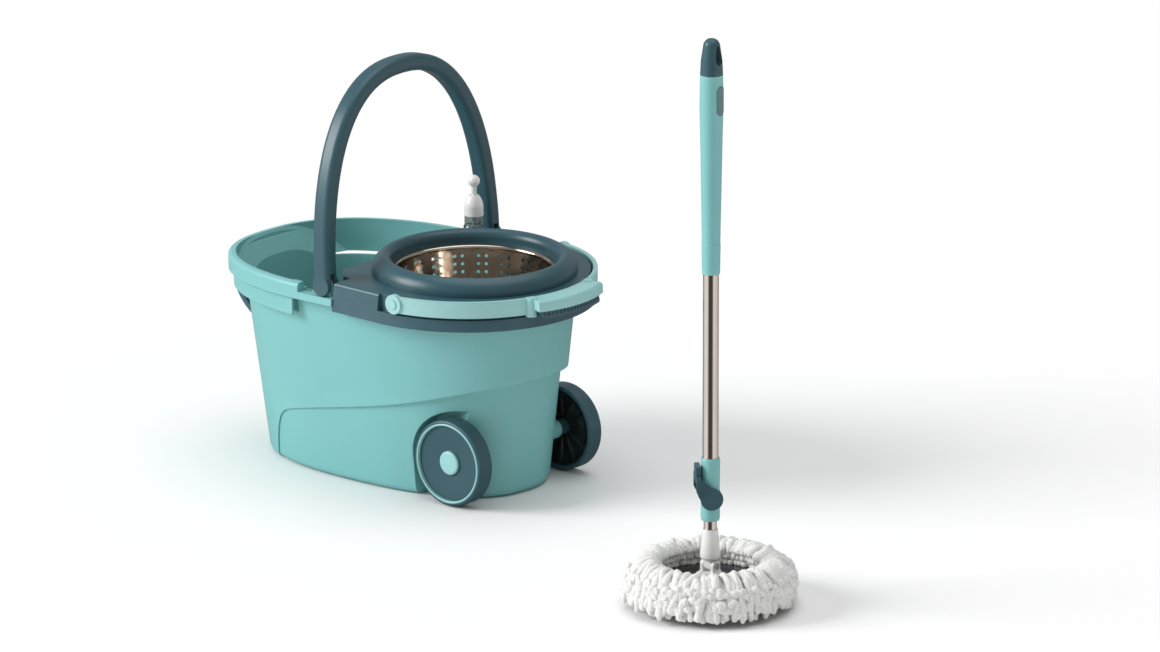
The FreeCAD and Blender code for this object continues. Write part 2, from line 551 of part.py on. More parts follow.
def basket_holes():
    """Rods through the wall where its holes are: groups of columns and rows, and one close row below."""
    places = []
    for group in range(HOLE_GROUPS):
        for column in range(HOLE_COLUMNS):
            for row in range(HOLE_ROWS):
                z = HOLE_TOP_ROW - row * HOLE_ROW_PITCH
                shift = (column - (HOLE_COLUMNS - 1) / 2) * HOLE_COLUMN_PITCH / basket_radius(z)
                places.append((2 * math.pi * group / HOLE_GROUPS + shift, z))
    low_z = HOLE_TOP_ROW - HOLE_ROWS * HOLE_ROW_PITCH
    places += [(2 * math.pi * i / LOW_ROW_HOLES, low_z) for i in range(LOW_ROW_HOLES)]
    holes = []
    for angle, z in places:
        out = V(math.cos(angle), math.sin(angle), 0)
        centre = V(BASKET_X, 0, z)
        radius = basket_radius(z)
        holes.append(rod(HOLE_RADIUS, centre.add(out * (radius - 4)), centre.add(out * (radius + 3))))
    return Part.Compound(holes)


def basket_wall():
    """The perforated steel wall with its rolled top bead."""
    bead, top, radius = BASKET_BEAD, BASKET_TOP, BASKET_TOP_RADIUS
    wall = turned([(BASKET_FLOOR_RADIUS, BASKET_FLOOR), (radius, top - bead),
                   (radius + bead * 1.7, top + bead * 0.7, radius + bead, top - 2 * bead),
                   (radius + bead + BASKET_WALL, top - 2 * bead),
                   (radius + bead * 1.5, top + bead * 1.3, radius - BASKET_WALL, top - bead),
                   (BASKET_FLOOR_RADIUS - BASKET_WALL, BASKET_FLOOR)], BASKET_X, 0)
    return wall.cut(basket_holes())


def basket_floor():
    """The basket's pierced floor."""
    floor = upright(BASKET_FLOOR_RADIUS - BASKET_WALL, BASKET_X, 0, BASKET_FLOOR, BASKET_FLOOR + BASKET_WALL)
    drains = []
    for radius, count in DRAIN_RINGS:
        for i in range(count):
            angle = 2 * math.pi * i / count
            x, y = BASKET_X + radius * math.cos(angle), radius * math.sin(angle)
            drains.append(upright(DRAIN_RADIUS, x, y, BASKET_FLOOR - 1, BASKET_FLOOR + 3))
    floor = floor.cut(upright(HUB_NECK_RADIUS, BASKET_X, 0, 0, FAR))
    return floor.cut(Part.Compound(drains))


def basket_bearing():
    """The post on the bucket's floor, its pivot pin, and the hub and bush that turn on the pin."""
    post = turned([(0, FLOOR_THICKNESS), (POST_RADIUS, FLOOR_THICKNESS), (POST_RADIUS, 20), (14, 30),
                   (POST_NECK_RADIUS, POST_TOP), (0, POST_TOP)], BASKET_X, 0)
    pin_low, pin_top = POST_TOP - PIVOT_SUNK, BASKET_FLOOR + PIVOT_RISE
    keep("basket_post", post.cut(upright(PIVOT_RADIUS, BASKET_X, 0, pin_low, POST_TOP + 1)))
    keep("pivot_pin", upright(PIVOT_RADIUS, BASKET_X, 0, pin_low, pin_top))
    bush_low = POST_TOP + SLIDING_GAP
    bush_radius = PIVOT_RADIUS + BUSH_WALL
    bush_start, bush_end = V(BASKET_X, 0, bush_low), V(BASKET_X, 0, pin_top)
    keep("hub_bush", tube(bush_radius, PIVOT_RADIUS + RUNNING_FIT, bush_start, bush_end))
    floor_top = BASKET_FLOOR + BASKET_WALL
    neck = HUB_NECK_RADIUS - 0.1
    keep("basket_hub", turned([(bush_radius, bush_low + 6), (neck, bush_low + 6), (neck, floor_top),
                               (HUB_FLANGE_RADIUS, floor_top), (HUB_FLANGE_RADIUS - 1, floor_top + 5),
                               (11, pin_top + 2, 6, pin_top + 8), (0, pin_top + 9), (0, pin_top + SLIDING_GAP),
                               (bush_radius, pin_top + SLIDING_GAP)], BASKET_X, 0))
    screws = []
    for i in range(4):
        angle = math.radians(45 + 90 * i)
        x, y = BASKET_X + HUB_SCREW_CIRCLE * math.cos(angle), HUB_SCREW_CIRCLE * math.sin(angle)
        screws.append(upright(HUB_SCREW_RADIUS, x, y, BASKET_FLOOR - 2.2, BASKET_FLOOR))
    keep("hub_screws", Part.Compound(screws))


# ---------------------------------------------------------------- wheels

def wheel_pieces(name, side):
    """One wheel with its trim ring, hub cap, axle and axle clip, on the side given by the sign of y."""
    width, radius = WHEEL_WIDTH, WHEEL_RADIUS
    bore = AXLE_RADIUS + RUNNING_FIT
    pocket = AXLE_RADIUS + 4
    seat = HUB_FACE - 3.0
    tyre = turned([(bore, -WHEEL_HUB_STEP), (WHEEL_HUB_RADIUS, -WHEEL_HUB_STEP), (WHEEL_HUB_RADIUS, 11), (38, 8),
                   (radius - 7, 4), (radius - 4, 0), (radius - 1.5, 0), (radius, 1.5), (radius, width - 3),
                   (radius - 0.9, width - 0.9, radius - 3, width), (RING_OUTER, width),
                   (RING_OUTER, width - 4), (RING_INNER, width - 3.6), (RING_INNER - 2, width - 3.2),
                   (16, HUB_FACE - 0.6), (16, HUB_FACE),
                   (pocket, HUB_FACE), (pocket, seat), (bore, seat)])
    ring = turned([(RING_INNER, width - 3.6), (RING_OUTER, width - 4), (RING_OUTER, width),
                   ((RING_INNER + RING_OUTER) / 2, width + 1.0, RING_INNER, width)])
    cap = turned([(0, HUB_FACE + 1), (12.0, HUB_FACE + 1), (12.0, HUB_FACE), (CAP_RADIUS, HUB_FACE),
                  (CAP_RADIUS, HUB_FACE + 1.8), (13.4, HUB_FACE + 2.8, 11, HUB_FACE + 3.2), (0, HUB_FACE + 3.6)])
    clip_low, clip_high = V(0, 0, seat + 0.4), V(0, 0, seat + 1.6)
    clip = tube(AXLE_RADIUS + 2.6, AXLE_RADIUS - AXLE_GROOVE, clip_low, clip_high)
    axle = upright(AXLE_RADIUS, 0, 0, AXLE_INNER_Y - WHEEL_INNER_Y, HUB_FACE)
    axle = axle.cut(tube(AXLE_RADIUS + 1, AXLE_RADIUS - AXLE_GROOVE, clip_low, clip_high))
    pieces = {"wheel": tyre, "wheel_ring": ring, "hub_cap": cap, "axle_clip": clip, "axle": axle}
    for label, shape in pieces.items():
        keep(label + "_" + name, along_y(shape, WHEEL_X, side * WHEEL_INNER_Y, WHEEL_Z, side))


# ---------------------------------------------------------------- bail

def bail():
    """The arched carrying handle with forked feet, leaning a little towards the pouring lip."""
    power = 2 / BAIL_SQUARENESS
    count = 24
    points = []
    for i in range(count + 1):
        angle = math.pi * i / count
        c, s = math.cos(angle), math.sin(angle)
        points.append(V(BAIL_X, math.copysign(BAIL_HALF_SPAN * abs(c) ** power, -c),
                        BAIL_PIVOT_Z + BAIL_HEIGHT * abs(s) ** power))
    curve = Part.BSplineCurve()
    curve.interpolate(points, InitialTangent=Z_AXIS, FinalTangent=V(0, 0, -1))
    half_x, half_y = BAIL_WIDTH / 2, BAIL_DEPTH / 2
    start = points[0]
    section = box(start.x - half_x, start.x + half_x, start.y - half_y, start.y + half_y,
                  start.z, start.z + 10)
    section = section.makeFillet(BAIL_CORNER, [e for e in section.Edges if e.BoundBox.ZLength > 9])
    face = [f for f in section.Faces if f.BoundBox.ZMax < start.z + 0.01][0]
    pipe = Part.BRepOffsetAPI.MakePipeShell(Part.Wire(curve.toShape()))
    pipe.setBiNormalMode(X_AXIS)
    pipe.add(face.OuterWire)
    pipe.build()
    pipe.makeSolid()
    arch = Part.Solid(pipe.shape())
    for side in (1, -1):
        y = side * BAIL_HALF_SPAN
        pivot = BAIL_PIVOT_Z
        foot = rod(half_x, V(BAIL_X, y - half_y, pivot), V(BAIL_X, y + half_y, pivot))
        slot_half = BAIL_EAR_THICKNESS / 2 + SLIDING_GAP
        slot = box(BAIL_X - 40, BAIL_X + 40, y - slot_half, y + slot_half, pivot - 40, pivot + half_x + 2)
        reach = half_y - BAIL_PIN_COVER
        pin_space = rod(BAIL_PIN_RADIUS, V(BAIL_X, y - reach, pivot), V(BAIL_X, y + reach, pivot))
        arch = arch.fuse(foot).cut(slot).cut(pin_space)
        keep("bail_pin_" + ("far" if side > 0 else "near"), lean(pin_space.copy()))
    keep("bail_handle", lean(arch))


def lean(shape):
    """Leans a shape of the bail about its pivot, towards the pouring lip."""
    shape.rotate(V(BAIL_X, 0, BAIL_PIVOT_Z), Y_AXIS, -BAIL_LEAN)
    return shape


# ---------------------------------------------------------------- pull handle

def sector(outer, inner, z0, z1, half_angle):
    """A ring sector about the deck's centre, half_angle degrees each side of +X."""
    ring = Part.Face(profile([(inner, z0), (outer, z0), (outer, z1), (inner, z1)]))
    ring.rotate(V(0, 0, 0), Z_AXIS, -half_angle)
    solid = ring.revolve(V(0, 0, 0), Z_AXIS, 2 * half_angle)
    solid.translate(V(DECK_CENTRE_X, 0, 0))
    return solid


def pull_grip(grip_low, high):
    """The hollow grip that bulges out of the pull handle's loop."""
    radius = PULL_OUTER_RADIUS + GRIP_BULGE + DECK_CENTRE_X - GRIP_CENTRE_X
    grip = upright(radius, GRIP_CENTRE_X, 0, grip_low, high)
    grip = grip.makeFillet(GRIP_ROUND, top_edges(grip, high))
    grip = grip.common(sector(FAR, PULL_INNER_RADIUS, grip_low, high, GRIP_HALF_ANGLE))
    top = high - GRIP_WALL
    hollow = upright(radius - GRIP_WALL, GRIP_CENTRE_X, 0, grip_low - 1, top)
    hollow = hollow.common(sector(FAR, PULL_OUTER_RADIUS + 1, grip_low - 1, top, GRIP_HALF_ANGLE - 2))
    return grip, hollow, radius


def pull_grip_pad(radius, pad_low, grip_low):
    """The dark finger pad under the grip, notched all along its outer edge."""
    pad = upright(radius, GRIP_CENTRE_X, 0, pad_low, grip_low)
    pad = pad.common(sector(FAR, PULL_OUTER_RADIUS, pad_low, grip_low, GRIP_HALF_ANGLE - 2.5))
    notches = []
    for i in range(-GRIP_NOTCHES, GRIP_NOTCHES + 1):
        angle = math.radians(i * GRIP_NOTCH_PITCH)
        x, y = GRIP_CENTRE_X + radius * math.cos(angle), radius * math.sin(angle)
        notches.append(upright(GRIP_NOTCH_RADIUS, x, y, grip_low - GRIP_NOTCH_DEPTH, grip_low + 1))
    return pad.cut(Part.Compound(notches))


def pull_handle():
    """The pale loop round the deck's end, the pins it turns on and its finger pad."""
    low, high = PULL_Z - PULL_HEIGHT / 2, PULL_Z + PULL_HEIGHT / 2
    middle = (PULL_INNER_RADIUS + PULL_OUTER_RADIUS) / 2
    end_angle = math.degrees(math.acos((PULL_X - DECK_CENTRE_X) / middle))
    loop = sector(PULL_OUTER_RADIUS, PULL_INNER_RADIUS, low, high, end_angle)
    y_mid = middle * math.sin(math.radians(end_angle))
    grip_low = low + GRIP_PAD_HEIGHT
    grip, hollow, grip_radius = pull_grip(grip_low, high)
    shape = loop.fuse(grip).cut(hollow)
    lug_angle = math.radians(GRIP_HALF_ANGLE)
    lug_x = DECK_CENTRE_X + (PULL_OUTER_RADIUS - 1) * math.cos(lug_angle)
    lug_y = (PULL_OUTER_RADIUS - 1) * math.sin(lug_angle)
    pins = []
    half = PULL_THICKNESS / 2
    for side in (1, -1):
        y0, y1 = side * (y_mid - half - 0.2), side * (y_mid + half + 0.6)
        disc = rod(PULL_DISC_RADIUS, V(PULL_X, y0, PULL_Z), V(PULL_X, y1, PULL_Z))
        lug = upright(PULL_LUG_RADIUS, lug_x, side * lug_y, low - GRIP_PAD_DROP, high + 0.5)
        lug = lug.cut(at_deck(PULL_INNER_RADIUS, 0, FAR))
        bore = rod(PULL_PIN_RADIUS + RUNNING_FIT, V(PULL_X, 0.7 * y1, PULL_Z), V(PULL_X, y1, PULL_Z))
        shape = shape.fuse(disc).fuse(lug).cut(bore)
        shank = rod(PULL_PIN_RADIUS, V(PULL_X, side * (RECESS_RADIUS - 8), PULL_Z), V(PULL_X, y1, PULL_Z))
        head = rod(PULL_PIN_RADIUS + PULL_PIN_HEAD, V(PULL_X, y1, PULL_Z), V(PULL_X, y1 + side * 1.2, PULL_Z))
        pins.append(shank.fuse(head))
    keep("pull_handle", shape)
    keep("pull_pins", Part.Compound(pins))
    keep("pull_grip_pad", pull_grip_pad(grip_radius - 1.5, low - GRIP_PAD_DROP, grip_low))


# ---------------------------------------------------------------- soap pump

def soap_pump():
    """The soap bottle that hangs in the deck, its cap, pump head, barrel and spring."""
    x, y = PUMP_X, PUMP_Y
    r = BOTTLE_RADIUS
    neck = r - NECK_STEP
    inside = neck - BOTTLE_WALL
    top, bottom = BOTTLE_TOP, BOTTLE_BOTTOM
    bottle = turned([(0, bottom), (r - 3, bottom), (r, bottom + 3), (r, top - NECK_HEIGHT - 2),
                     (neck, top - NECK_HEIGHT), (neck, top), (inside, top), (inside, bottom + 2),
                     (0, bottom + 2)], x, y)
    flange = tube(r + 2.5, r - 1.5, V(x, y, DECK_TOP), V(x, y, DECK_TOP + 2))
    keep("soap_bottle", bottle.fuse(flange))
    stem_hole = STEM_RADIUS + SLIDING_GAP
    skirt = inside - 0.1
    keep("bottle_cap", turned([(stem_hole, top + 2), (skirt, top + 2), (skirt, top), (r - 1.0, top),
                               (neck, top + 12), (r - 4, top + 21, STEM_RADIUS + 3, CAP_TOP),
                               (stem_hole, CAP_TOP)], x, y))
    head = Part.makeSphere(BALL_RADIUS, V(x, y, BALL_Z))
    stem = upright(STEM_RADIUS, x, y, top - 10, BALL_Z - 3)
    keep("pump_head", head.fuse(stem).cut(upright(STEM_BORE, x, y, top - 12, BALL_Z - 8)))
    tip = bottom + 6
    barrel_top = top + 1.9
    keep("dip_tube", turned([(1.2, tip), (2.4, tip), (2.4, top - 42), (BARREL_RADIUS, top - 38),
                             (BARREL_RADIUS, barrel_top), (BARREL_BORE, barrel_top), (BARREL_BORE, top - 37),
                             (1.2, top - 40)], x, y))
    low, high = top - 36.0, top - 10.5
    helix = Part.makeHelix((high - low) / SPRING_TURNS, high - low, SPRING_RADIUS)
    helix.translate(V(x, y, low))
    first = helix.Edges[0]
    start, heading = first.valueAt(first.FirstParameter), first.tangentAt(first.FirstParameter)
    circle = Part.Wire(Part.makeCircle(SPRING_WIRE, start, heading))
    keep("pump_spring", Part.Wire(helix.Edges).makePipeShell([circle], True, True))


# ---------------------------------------------------------------- mop head

def fringe_body(x, y):
    """The closed ring-shaped body of the fringe, which wraps the plate's edge with a small gap."""
    mouth, outer, curl = FRINGE_MOUTH, FRINGE_RADIUS, FRINGE_CURL
    bend = curl * (1 - math.sqrt(0.5))
    over, under = PLATE_TOP + FRINGE_GAP, PLATE_BOTTOM - RING_DROP - FRINGE_GAP
    edge = PLATE_RADIUS + FRINGE_GAP
    return turned([(FRINGE_CORE, 0), (outer - curl, 0), (outer - bend, bend, outer, curl), (outer, 24),
                   (outer - 5, PLATE_TOP + 15, PLATE_RADIUS + 4, FRINGE_TOP),
                   (mouth + 6.5, FRINGE_TOP - 10, mouth, over + 8.7),
                   (mouth, over), (edge, over), (edge, under), (FRINGE_CORE, under)], x, y)


def swivel_yoke(x, y, base_low, bearing_low):
    """The disc that turns in the plate's bearing, with the two ears of the tilt hinge."""
    base_top = base_low + YOKE_THICKNESS
    yoke = upright(YOKE_RADIUS, x, y, base_low, base_top)
    yoke = yoke.fuse(upright(BEARING_BORE - RUNNING_FIT, x, y, bearing_low + 0.3, base_low))
    for side in (1, -1):
        x0, x1 = sorted((x + side * EAR_GAP / 2, x + side * (EAR_GAP / 2 + EAR_THICKNESS)))
        ear = rod(EAR_RADIUS, V(x0, y, HINGE_Z), V(x1, y, HINGE_Z))
        yoke = yoke.fuse(ear.fuse(box(x0, x1, y - EAR_RADIUS, y + EAR_RADIUS, base_top - 0.5, HINGE_Z)))
    return yoke


def mop_head():
    """The plate with its ring, fringe, hub and bearing, and the swivelling yoke with its hinge pin."""
    x, y = MOP_X, MOP_Y
    radius = PLATE_RADIUS
    keep("mop_plate", turned([(PLATE_BORE, PLATE_BOTTOM), (radius, PLATE_BOTTOM), (radius, PLATE_TOP - 1),
                              (radius - 1, PLATE_TOP), (PLATE_BORE, PLATE_TOP)], x, y))
    ring_low, ring_top = V(x, y, PLATE_BOTTOM - RING_DROP), V(x, y, PLATE_BOTTOM)
    keep("fringe_ring", tube(radius - 1, RING_BORE, ring_low, ring_top))
    keep("mop_fringe", fringe_body(x, y))
    hub_top = PLATE_TOP + HUB_HEIGHT
    bearing_low = hub_top - BEARING_HEIGHT
    seat = BEARING_RADIUS + 0.1
    keep("head_hub", turned([(0, PLATE_BOTTOM - 2), (PLATE_BORE, PLATE_BOTTOM - 2), (PLATE_BORE, PLATE_TOP),
                             (HUB_RADIUS, PLATE_TOP), (HUB_RADIUS, PLATE_TOP + 2), (HUB_RADIUS - 3.5, hub_top - 2),
                             (HUB_RADIUS - 4.5, hub_top), (seat, hub_top), (seat, bearing_low),
                             (0, bearing_low)], x, y))
    keep("spin_bearing", tube(BEARING_RADIUS, BEARING_BORE, V(x, y, bearing_low), V(x, y, hub_top - 0.2)))
    reach = EAR_GAP / 2 + EAR_THICKNESS
    left, right = V(x - reach, y, HINGE_Z), V(x + reach, y, HINGE_Z)
    pin = rod(HINGE_PIN_RADIUS, left, right)
    keep("swivel_yoke", swivel_yoke(x, y, hub_top + SLIDING_GAP, bearing_low).cut(pin))
    head = V(1.2, 0, 0)
    head_radius = HINGE_PIN_RADIUS + HINGE_HEAD
    heads = [rod(head_radius, right, right.add(head)), rod(head_radius, left, left.sub(head))]
    keep("hinge_pin", fuse([pin] + heads))


# ---------------------------------------------------------------- mop shaft and pole

def twisted(width, thickness, z0, z1):
    """A flat strip between two heights, twisted right-handed about the mop's axis by the spindle's lead."""
    step_count = max(2, int(math.ceil((z1 - z0) / SPINDLE_LEAD * 16)))
    wires = []
    for i in range(step_count + 1):
        z = z0 + (z1 - z0) * i / step_count
        angle = 2 * math.pi * (z - SPINDLE_BOTTOM) / SPINDLE_LEAD
        c, s = math.cos(angle), math.sin(angle)
        corners = []
        for u, w in ((-1, -1), (1, -1), (1, 1), (-1, 1), (-1, -1)):
            a, b = u * width / 2, w * thickness / 2
            corners.append(V(MOP_X + a * c - b * s, MOP_Y + a * s + b * c, z))
        wires.append(Part.makePolygon(corners))
    return Part.makeLoft(wires, True, False)


def mop_shaft():
    """The socket on the tilt hinge, the inner tube and the housing with the nut that drives the spin."""
    x, y = MOP_X, MOP_Y
    cone = turned([(0, SOCKET_BOTTOM), (SOCKET_RADIUS - 1, SOCKET_BOTTOM), (SOCKET_RADIUS, SOCKET_BOTTOM + 2),
                   (SOCKET_RADIUS, SOCKET_BOTTOM + 6), (SOCKET_TOP_RADIUS, SOCKET_TOP), (0, SOCKET_TOP)], x, y)
    half, round_end = EAR_GAP / 2 - 0.3, EAR_RADIUS - 0.5
    tongue = rod(round_end, V(x - half, y, HINGE_Z), V(x + half, y, HINGE_Z))
    tongue = tongue.fuse(box(x - half, x + half, y - round_end, y + round_end, HINGE_Z, SOCKET_BOTTOM + 1))
    socket = cone.fuse(tongue)
    socket = socket.cut(upright(INNER_TUBE_RADIUS, x, y, INNER_TUBE_BOTTOM, SOCKET_TOP + 1))
    socket = socket.cut(rod(HINGE_PIN_RADIUS + RUNNING_FIT, V(x - 20, y, HINGE_Z), V(x + 20, y, HINGE_Z)))
    keep("mop_socket", socket)
    bore = INNER_TUBE_RADIUS - TUBE_WALL
    top = INNER_TUBE_TOP
    keep("inner_tube", tube(INNER_TUBE_RADIUS, bore, V(x, y, INNER_TUBE_BOTTOM), V(x, y, top)))
    seat_low = top - NUT_HEIGHT - 6
    nut_low = seat_low + 2.5
    nut_top = nut_low + NUT_HEIGHT
    room = bore - NUT_WALL
    keep("nut_housing", turned([(NUT_BORE, seat_low), (bore, seat_low), (bore, top), (INNER_TUBE_RADIUS, top),
                                (INNER_TUBE_RADIUS, top + 4), (NUT_BORE, top + 4), (NUT_BORE, nut_top + NUT_GAP),
                                (room, nut_top + NUT_GAP), (room, nut_low - NUT_GAP),
                                (NUT_BORE, nut_low - NUT_GAP)], x, y))
    slot = twisted(SPINDLE_WIDTH + 0.6, SPINDLE_THICKNESS + 0.8, nut_low - 1, nut_top + 1)
    keep("drive_nut", upright(room - RUNNING_FIT, x, y, nut_low, nut_top).cut(slot))


def clamp_sleeve(x, y):
    """The clamp's sleeve round the foot of the outer tube, without its bosses."""
    bore, radius = INNER_TUBE_RADIUS + CLAMP_BORE_GAP, CLAMP_RADIUS
    return turned([(bore, CLAMP_BOTTOM), (radius - 0.8, CLAMP_BOTTOM), (radius, CLAMP_BOTTOM + 3),
                   (radius - 0.3, CAM_Z + 14), (radius, CLAMP_TOP - 2), (radius - 0.6, CLAMP_TOP),
                   (OUTER_TUBE_RADIUS, CLAMP_TOP), (OUTER_TUBE_RADIUS, OUTER_TUBE_BOTTOM),
                   (bore, OUTER_TUBE_BOTTOM)], x, y)


def lever_arm(reach, half):
    """The lever's cheeks, web and arm about the origin, with its axis along Y."""
    inner, outer = CAM_FACE, CAM_FACE + LEVER_THICKNESS
    rise = LEVER_WEB_RISE
    outline = [(-6, 8), (inner, rise + 6), (outer, rise + 6), (outer, 9), (9, -9), (-6, 8)]
    cheek = Part.Face(Part.makePolygon([V(u, -reach, CAM_Z + w) for u, w in outline]))
    cheeks = cheek.extrude(V(0, 2 * reach, 0)).cut(box(-40, 40, -half, half, 0, FAR))
    web = box(inner, outer, -reach, reach, CAM_Z + rise, CAM_Z + rise + LEVER_WEB_HEIGHT)
    arm = box(inner, outer, -LEVER_HALF_WIDTH, LEVER_HALF_WIDTH, CAM_Z + rise, LEVER_TOP)
    arm = arm.makeFillet(LEVER_ROUND, [e for e in top_edges(arm, LEVER_TOP) if e.BoundBox.XLength > 3])
    return cheeks.fuse(web).fuse(arm)


def clamp_pieces():
    """The clamp sleeve on the outer tube's foot, its flip lever and the two stub pins that it turns on."""
    x, y = MOP_X, MOP_Y
    angle = math.radians(CAM_AXIS_ANGLE)
    axis = V(math.cos(angle), math.sin(angle), 0)
    centre = V(x, y, CAM_Z)
    inner = CAM_FACE + SLIDING_GAP
    reach = inner + CAM_THICKNESS
    sleeve = clamp_sleeve(x, y)
    tube_room = upright(OUTER_TUBE_RADIUS + 0.02, x, y, OUTER_TUBE_BOTTOM, CLAMP_TOP)
    lever = lever_arm(reach, inner)
    lever.rotate(V(0, 0, 0), Z_AXIS, CAM_AXIS_ANGLE - 90)
    lever.translate(V(x, y, 0))
    pins = []
    for side in (1, -1):
        boss = rod(CAM_BOSS_RADIUS, centre.add(axis * (side * 6)), centre.add(axis * (side * CAM_FACE)))
        sleeve = sleeve.fuse(boss.cut(tube_room))
        start = centre.add(axis * (side * (OUTER_TUBE_RADIUS + 0.4)))
        pins.append(rod(CAM_PIN_RADIUS, start, centre.add(axis * (side * (reach - 1.2)))))
        lever = lever.fuse(rod(CAM_RADIUS, centre.add(axis * (side * inner)), centre.add(axis * (side * reach))))
    stubs = Part.Compound(pins)
    keep("clamp_body", sleeve.cut(stubs))
    keep("clamp_pins", stubs)
    bore_end = axis * (reach - 0.8)
    keep("clamp_lever", lever.cut(rod(CAM_PIN_RADIUS + RUNNING_FIT, centre.sub(bore_end), centre.add(bore_end))))


def hanging_hole(x, y):
    """The slanted slot through the end cap: a rod at each end and the tapered block between them."""
    start = V(x - 30, y, 0)
    low, high = start.add(Z_AXIS * HANG_HOLE_LOW), start.add(Z_AXIS * HANG_HOLE_TOP)
    wide, narrow = Y_AXIS * HANG_HOLE_RADIUS, Y_AXIS * HANG_HOLE_TOP_RADIUS
    corners = [low.sub(wide), high.sub(narrow), high.add(narrow), low.add(wide), low.sub(wide)]
    hole = Part.Face(Part.makePolygon(corners)).extrude(V(60, 0, 0))
    hole = hole.fuse(Part.makeCylinder(HANG_HOLE_RADIUS, 60, low, X_AXIS))
    return hole.fuse(Part.makeCylinder(HANG_HOLE_TOP_RADIUS, 60, high, X_AXIS))


def grip_badge(x, y):
    """The oval blank badge, sunk in the grip."""
    half, length = BADGE_WIDTH / 2, BADGE_HEIGHT / 2
    badge = box(GRIP_TOP_RADIUS - 3, GRIP_TOP_RADIUS + 0.5, -half, half, BADGE_Z - length, BADGE_Z + length)
    badge = badge.makeFillet(half - 0.2, [e for e in badge.Edges if e.BoundBox.XLength > 3])
    badge.rotate(V(0, 0, 0), Z_AXIS, BADGE_TURN)
    badge.translate(V(x, y, 0))
    return badge.common(upright(GRIP_TOP_RADIUS + BADGE_RAISE, x, y, 0, 1000))


def mop_pole():
    """The outer tube with its grip, badge and end cap, and the twisted spindle on its plug."""
    x, y = MOP_X, MOP_Y
    bore = OUTER_TUBE_RADIUS - TUBE_WALL
    tube_ends = (V(x, y, OUTER_TUBE_BOTTOM), V(x, y, OUTER_TUBE_TOP))
    keep("outer_tube", tube(OUTER_TUBE_RADIUS, bore, *tube_ends))
    low, cuff = GRIP_LOW_RADIUS, GRIP_BOTTOM + GRIP_CUFF
    top, radius = END_CAP_TOP, GRIP_TOP_RADIUS - 0.6
    grip = turned([(OUTER_TUBE_RADIUS, GRIP_BOTTOM), (low, GRIP_BOTTOM), (low + 0.6, cuff), (low + 0.2, cuff + 1),
                   (low + 2.6, GRIP_TOP - 70), (GRIP_TOP_RADIUS, GRIP_TOP - 40), (radius, GRIP_TOP),
                   (OUTER_TUBE_RADIUS, GRIP_TOP)], x, y)
    cap = turned([(0, GRIP_TOP), (radius, GRIP_TOP), (radius - 0.8, GRIP_TOP + 17), (radius - 3.4, top - 9),
                  (radius - 6.4, top - 2.4, 4.5, top - 0.6), (0, top)], x, y)
    keep("end_cap", cap.cut(hanging_hole(x, y)))
    badge = grip_badge(x, y)
    keep("grip_badge", badge)
    keep("pole_grip", grip.cut(badge))
    plug_low = OUTER_TUBE_TOP - PLUG_DEPTH
    plug = turned([(0, plug_low), (bore, plug_low), (bore, OUTER_TUBE_TOP), (OUTER_TUBE_RADIUS, OUTER_TUBE_TOP),
                   (OUTER_TUBE_RADIUS, GRIP_TOP), (0, GRIP_TOP)], x, y)
    spindle = twisted(SPINDLE_WIDTH, SPINDLE_THICKNESS, SPINDLE_BOTTOM, plug_low + SPINDLE_GRIPPED)
    keep("twist_spindle", spindle)
    keep("spindle_plug", plug.cut(spindle))


# ---------------------------------------------------------------- write

def main():
    """Builds every sub-part and writes one STEP file for each."""
    keep("bucket_shell", bucket_shell())
    keep("pour_grip", pour_grip())
    keep("wringer_deck", wringer_deck())
    keep("splash_collar", splash_collar())
    keep("basket_wall", basket_wall())
    keep("basket_floor", basket_floor())
    basket_bearing()
    wheel_pieces("near", -1)
    wheel_pieces("far", 1)
    bail()
    pull_handle()
    soap_pump()
    mop_head()
    mop_shaft()
    clamp_pieces()
    mop_pole()
    os.makedirs("parts", exist_ok=True)
    for name, shape in sorted(PARTS.items()):
        shape.exportStep("parts/" + name + ".step")
        state = "valid" if shape.isValid() else "INVALID"
        print(name, state, len(shape.Solids), "solid", round(shape.Volume / 1000, 2), "cm3")


main()
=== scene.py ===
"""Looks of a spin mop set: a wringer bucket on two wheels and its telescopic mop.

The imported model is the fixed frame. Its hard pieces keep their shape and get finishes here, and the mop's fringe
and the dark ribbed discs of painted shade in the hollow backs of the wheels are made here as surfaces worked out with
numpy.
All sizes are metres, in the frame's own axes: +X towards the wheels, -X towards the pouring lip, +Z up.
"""

import json
import logging
import math
from dataclasses import dataclass, field
from enum import Enum

import bpy
import numpy as np
from mathutils import Euler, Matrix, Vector

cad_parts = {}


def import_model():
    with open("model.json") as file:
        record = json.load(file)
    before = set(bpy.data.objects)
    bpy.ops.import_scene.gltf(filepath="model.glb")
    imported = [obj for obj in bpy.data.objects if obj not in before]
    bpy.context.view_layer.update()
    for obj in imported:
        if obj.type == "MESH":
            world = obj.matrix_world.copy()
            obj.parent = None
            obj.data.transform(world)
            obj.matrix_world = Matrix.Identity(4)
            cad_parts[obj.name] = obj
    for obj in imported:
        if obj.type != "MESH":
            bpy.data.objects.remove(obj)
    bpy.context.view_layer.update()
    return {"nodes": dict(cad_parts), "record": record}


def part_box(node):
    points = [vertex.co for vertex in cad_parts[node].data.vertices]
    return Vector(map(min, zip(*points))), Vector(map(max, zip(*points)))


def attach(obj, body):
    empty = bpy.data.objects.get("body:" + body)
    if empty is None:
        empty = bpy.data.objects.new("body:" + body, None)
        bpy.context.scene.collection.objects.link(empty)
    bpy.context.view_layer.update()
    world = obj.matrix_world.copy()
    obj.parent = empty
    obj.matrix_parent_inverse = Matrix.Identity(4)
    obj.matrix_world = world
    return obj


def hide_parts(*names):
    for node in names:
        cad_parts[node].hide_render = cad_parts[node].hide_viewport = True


MM = 0.001
LOG = logging.getLogger("spin_mop")


# ------------------------------------------------------------------ small tools

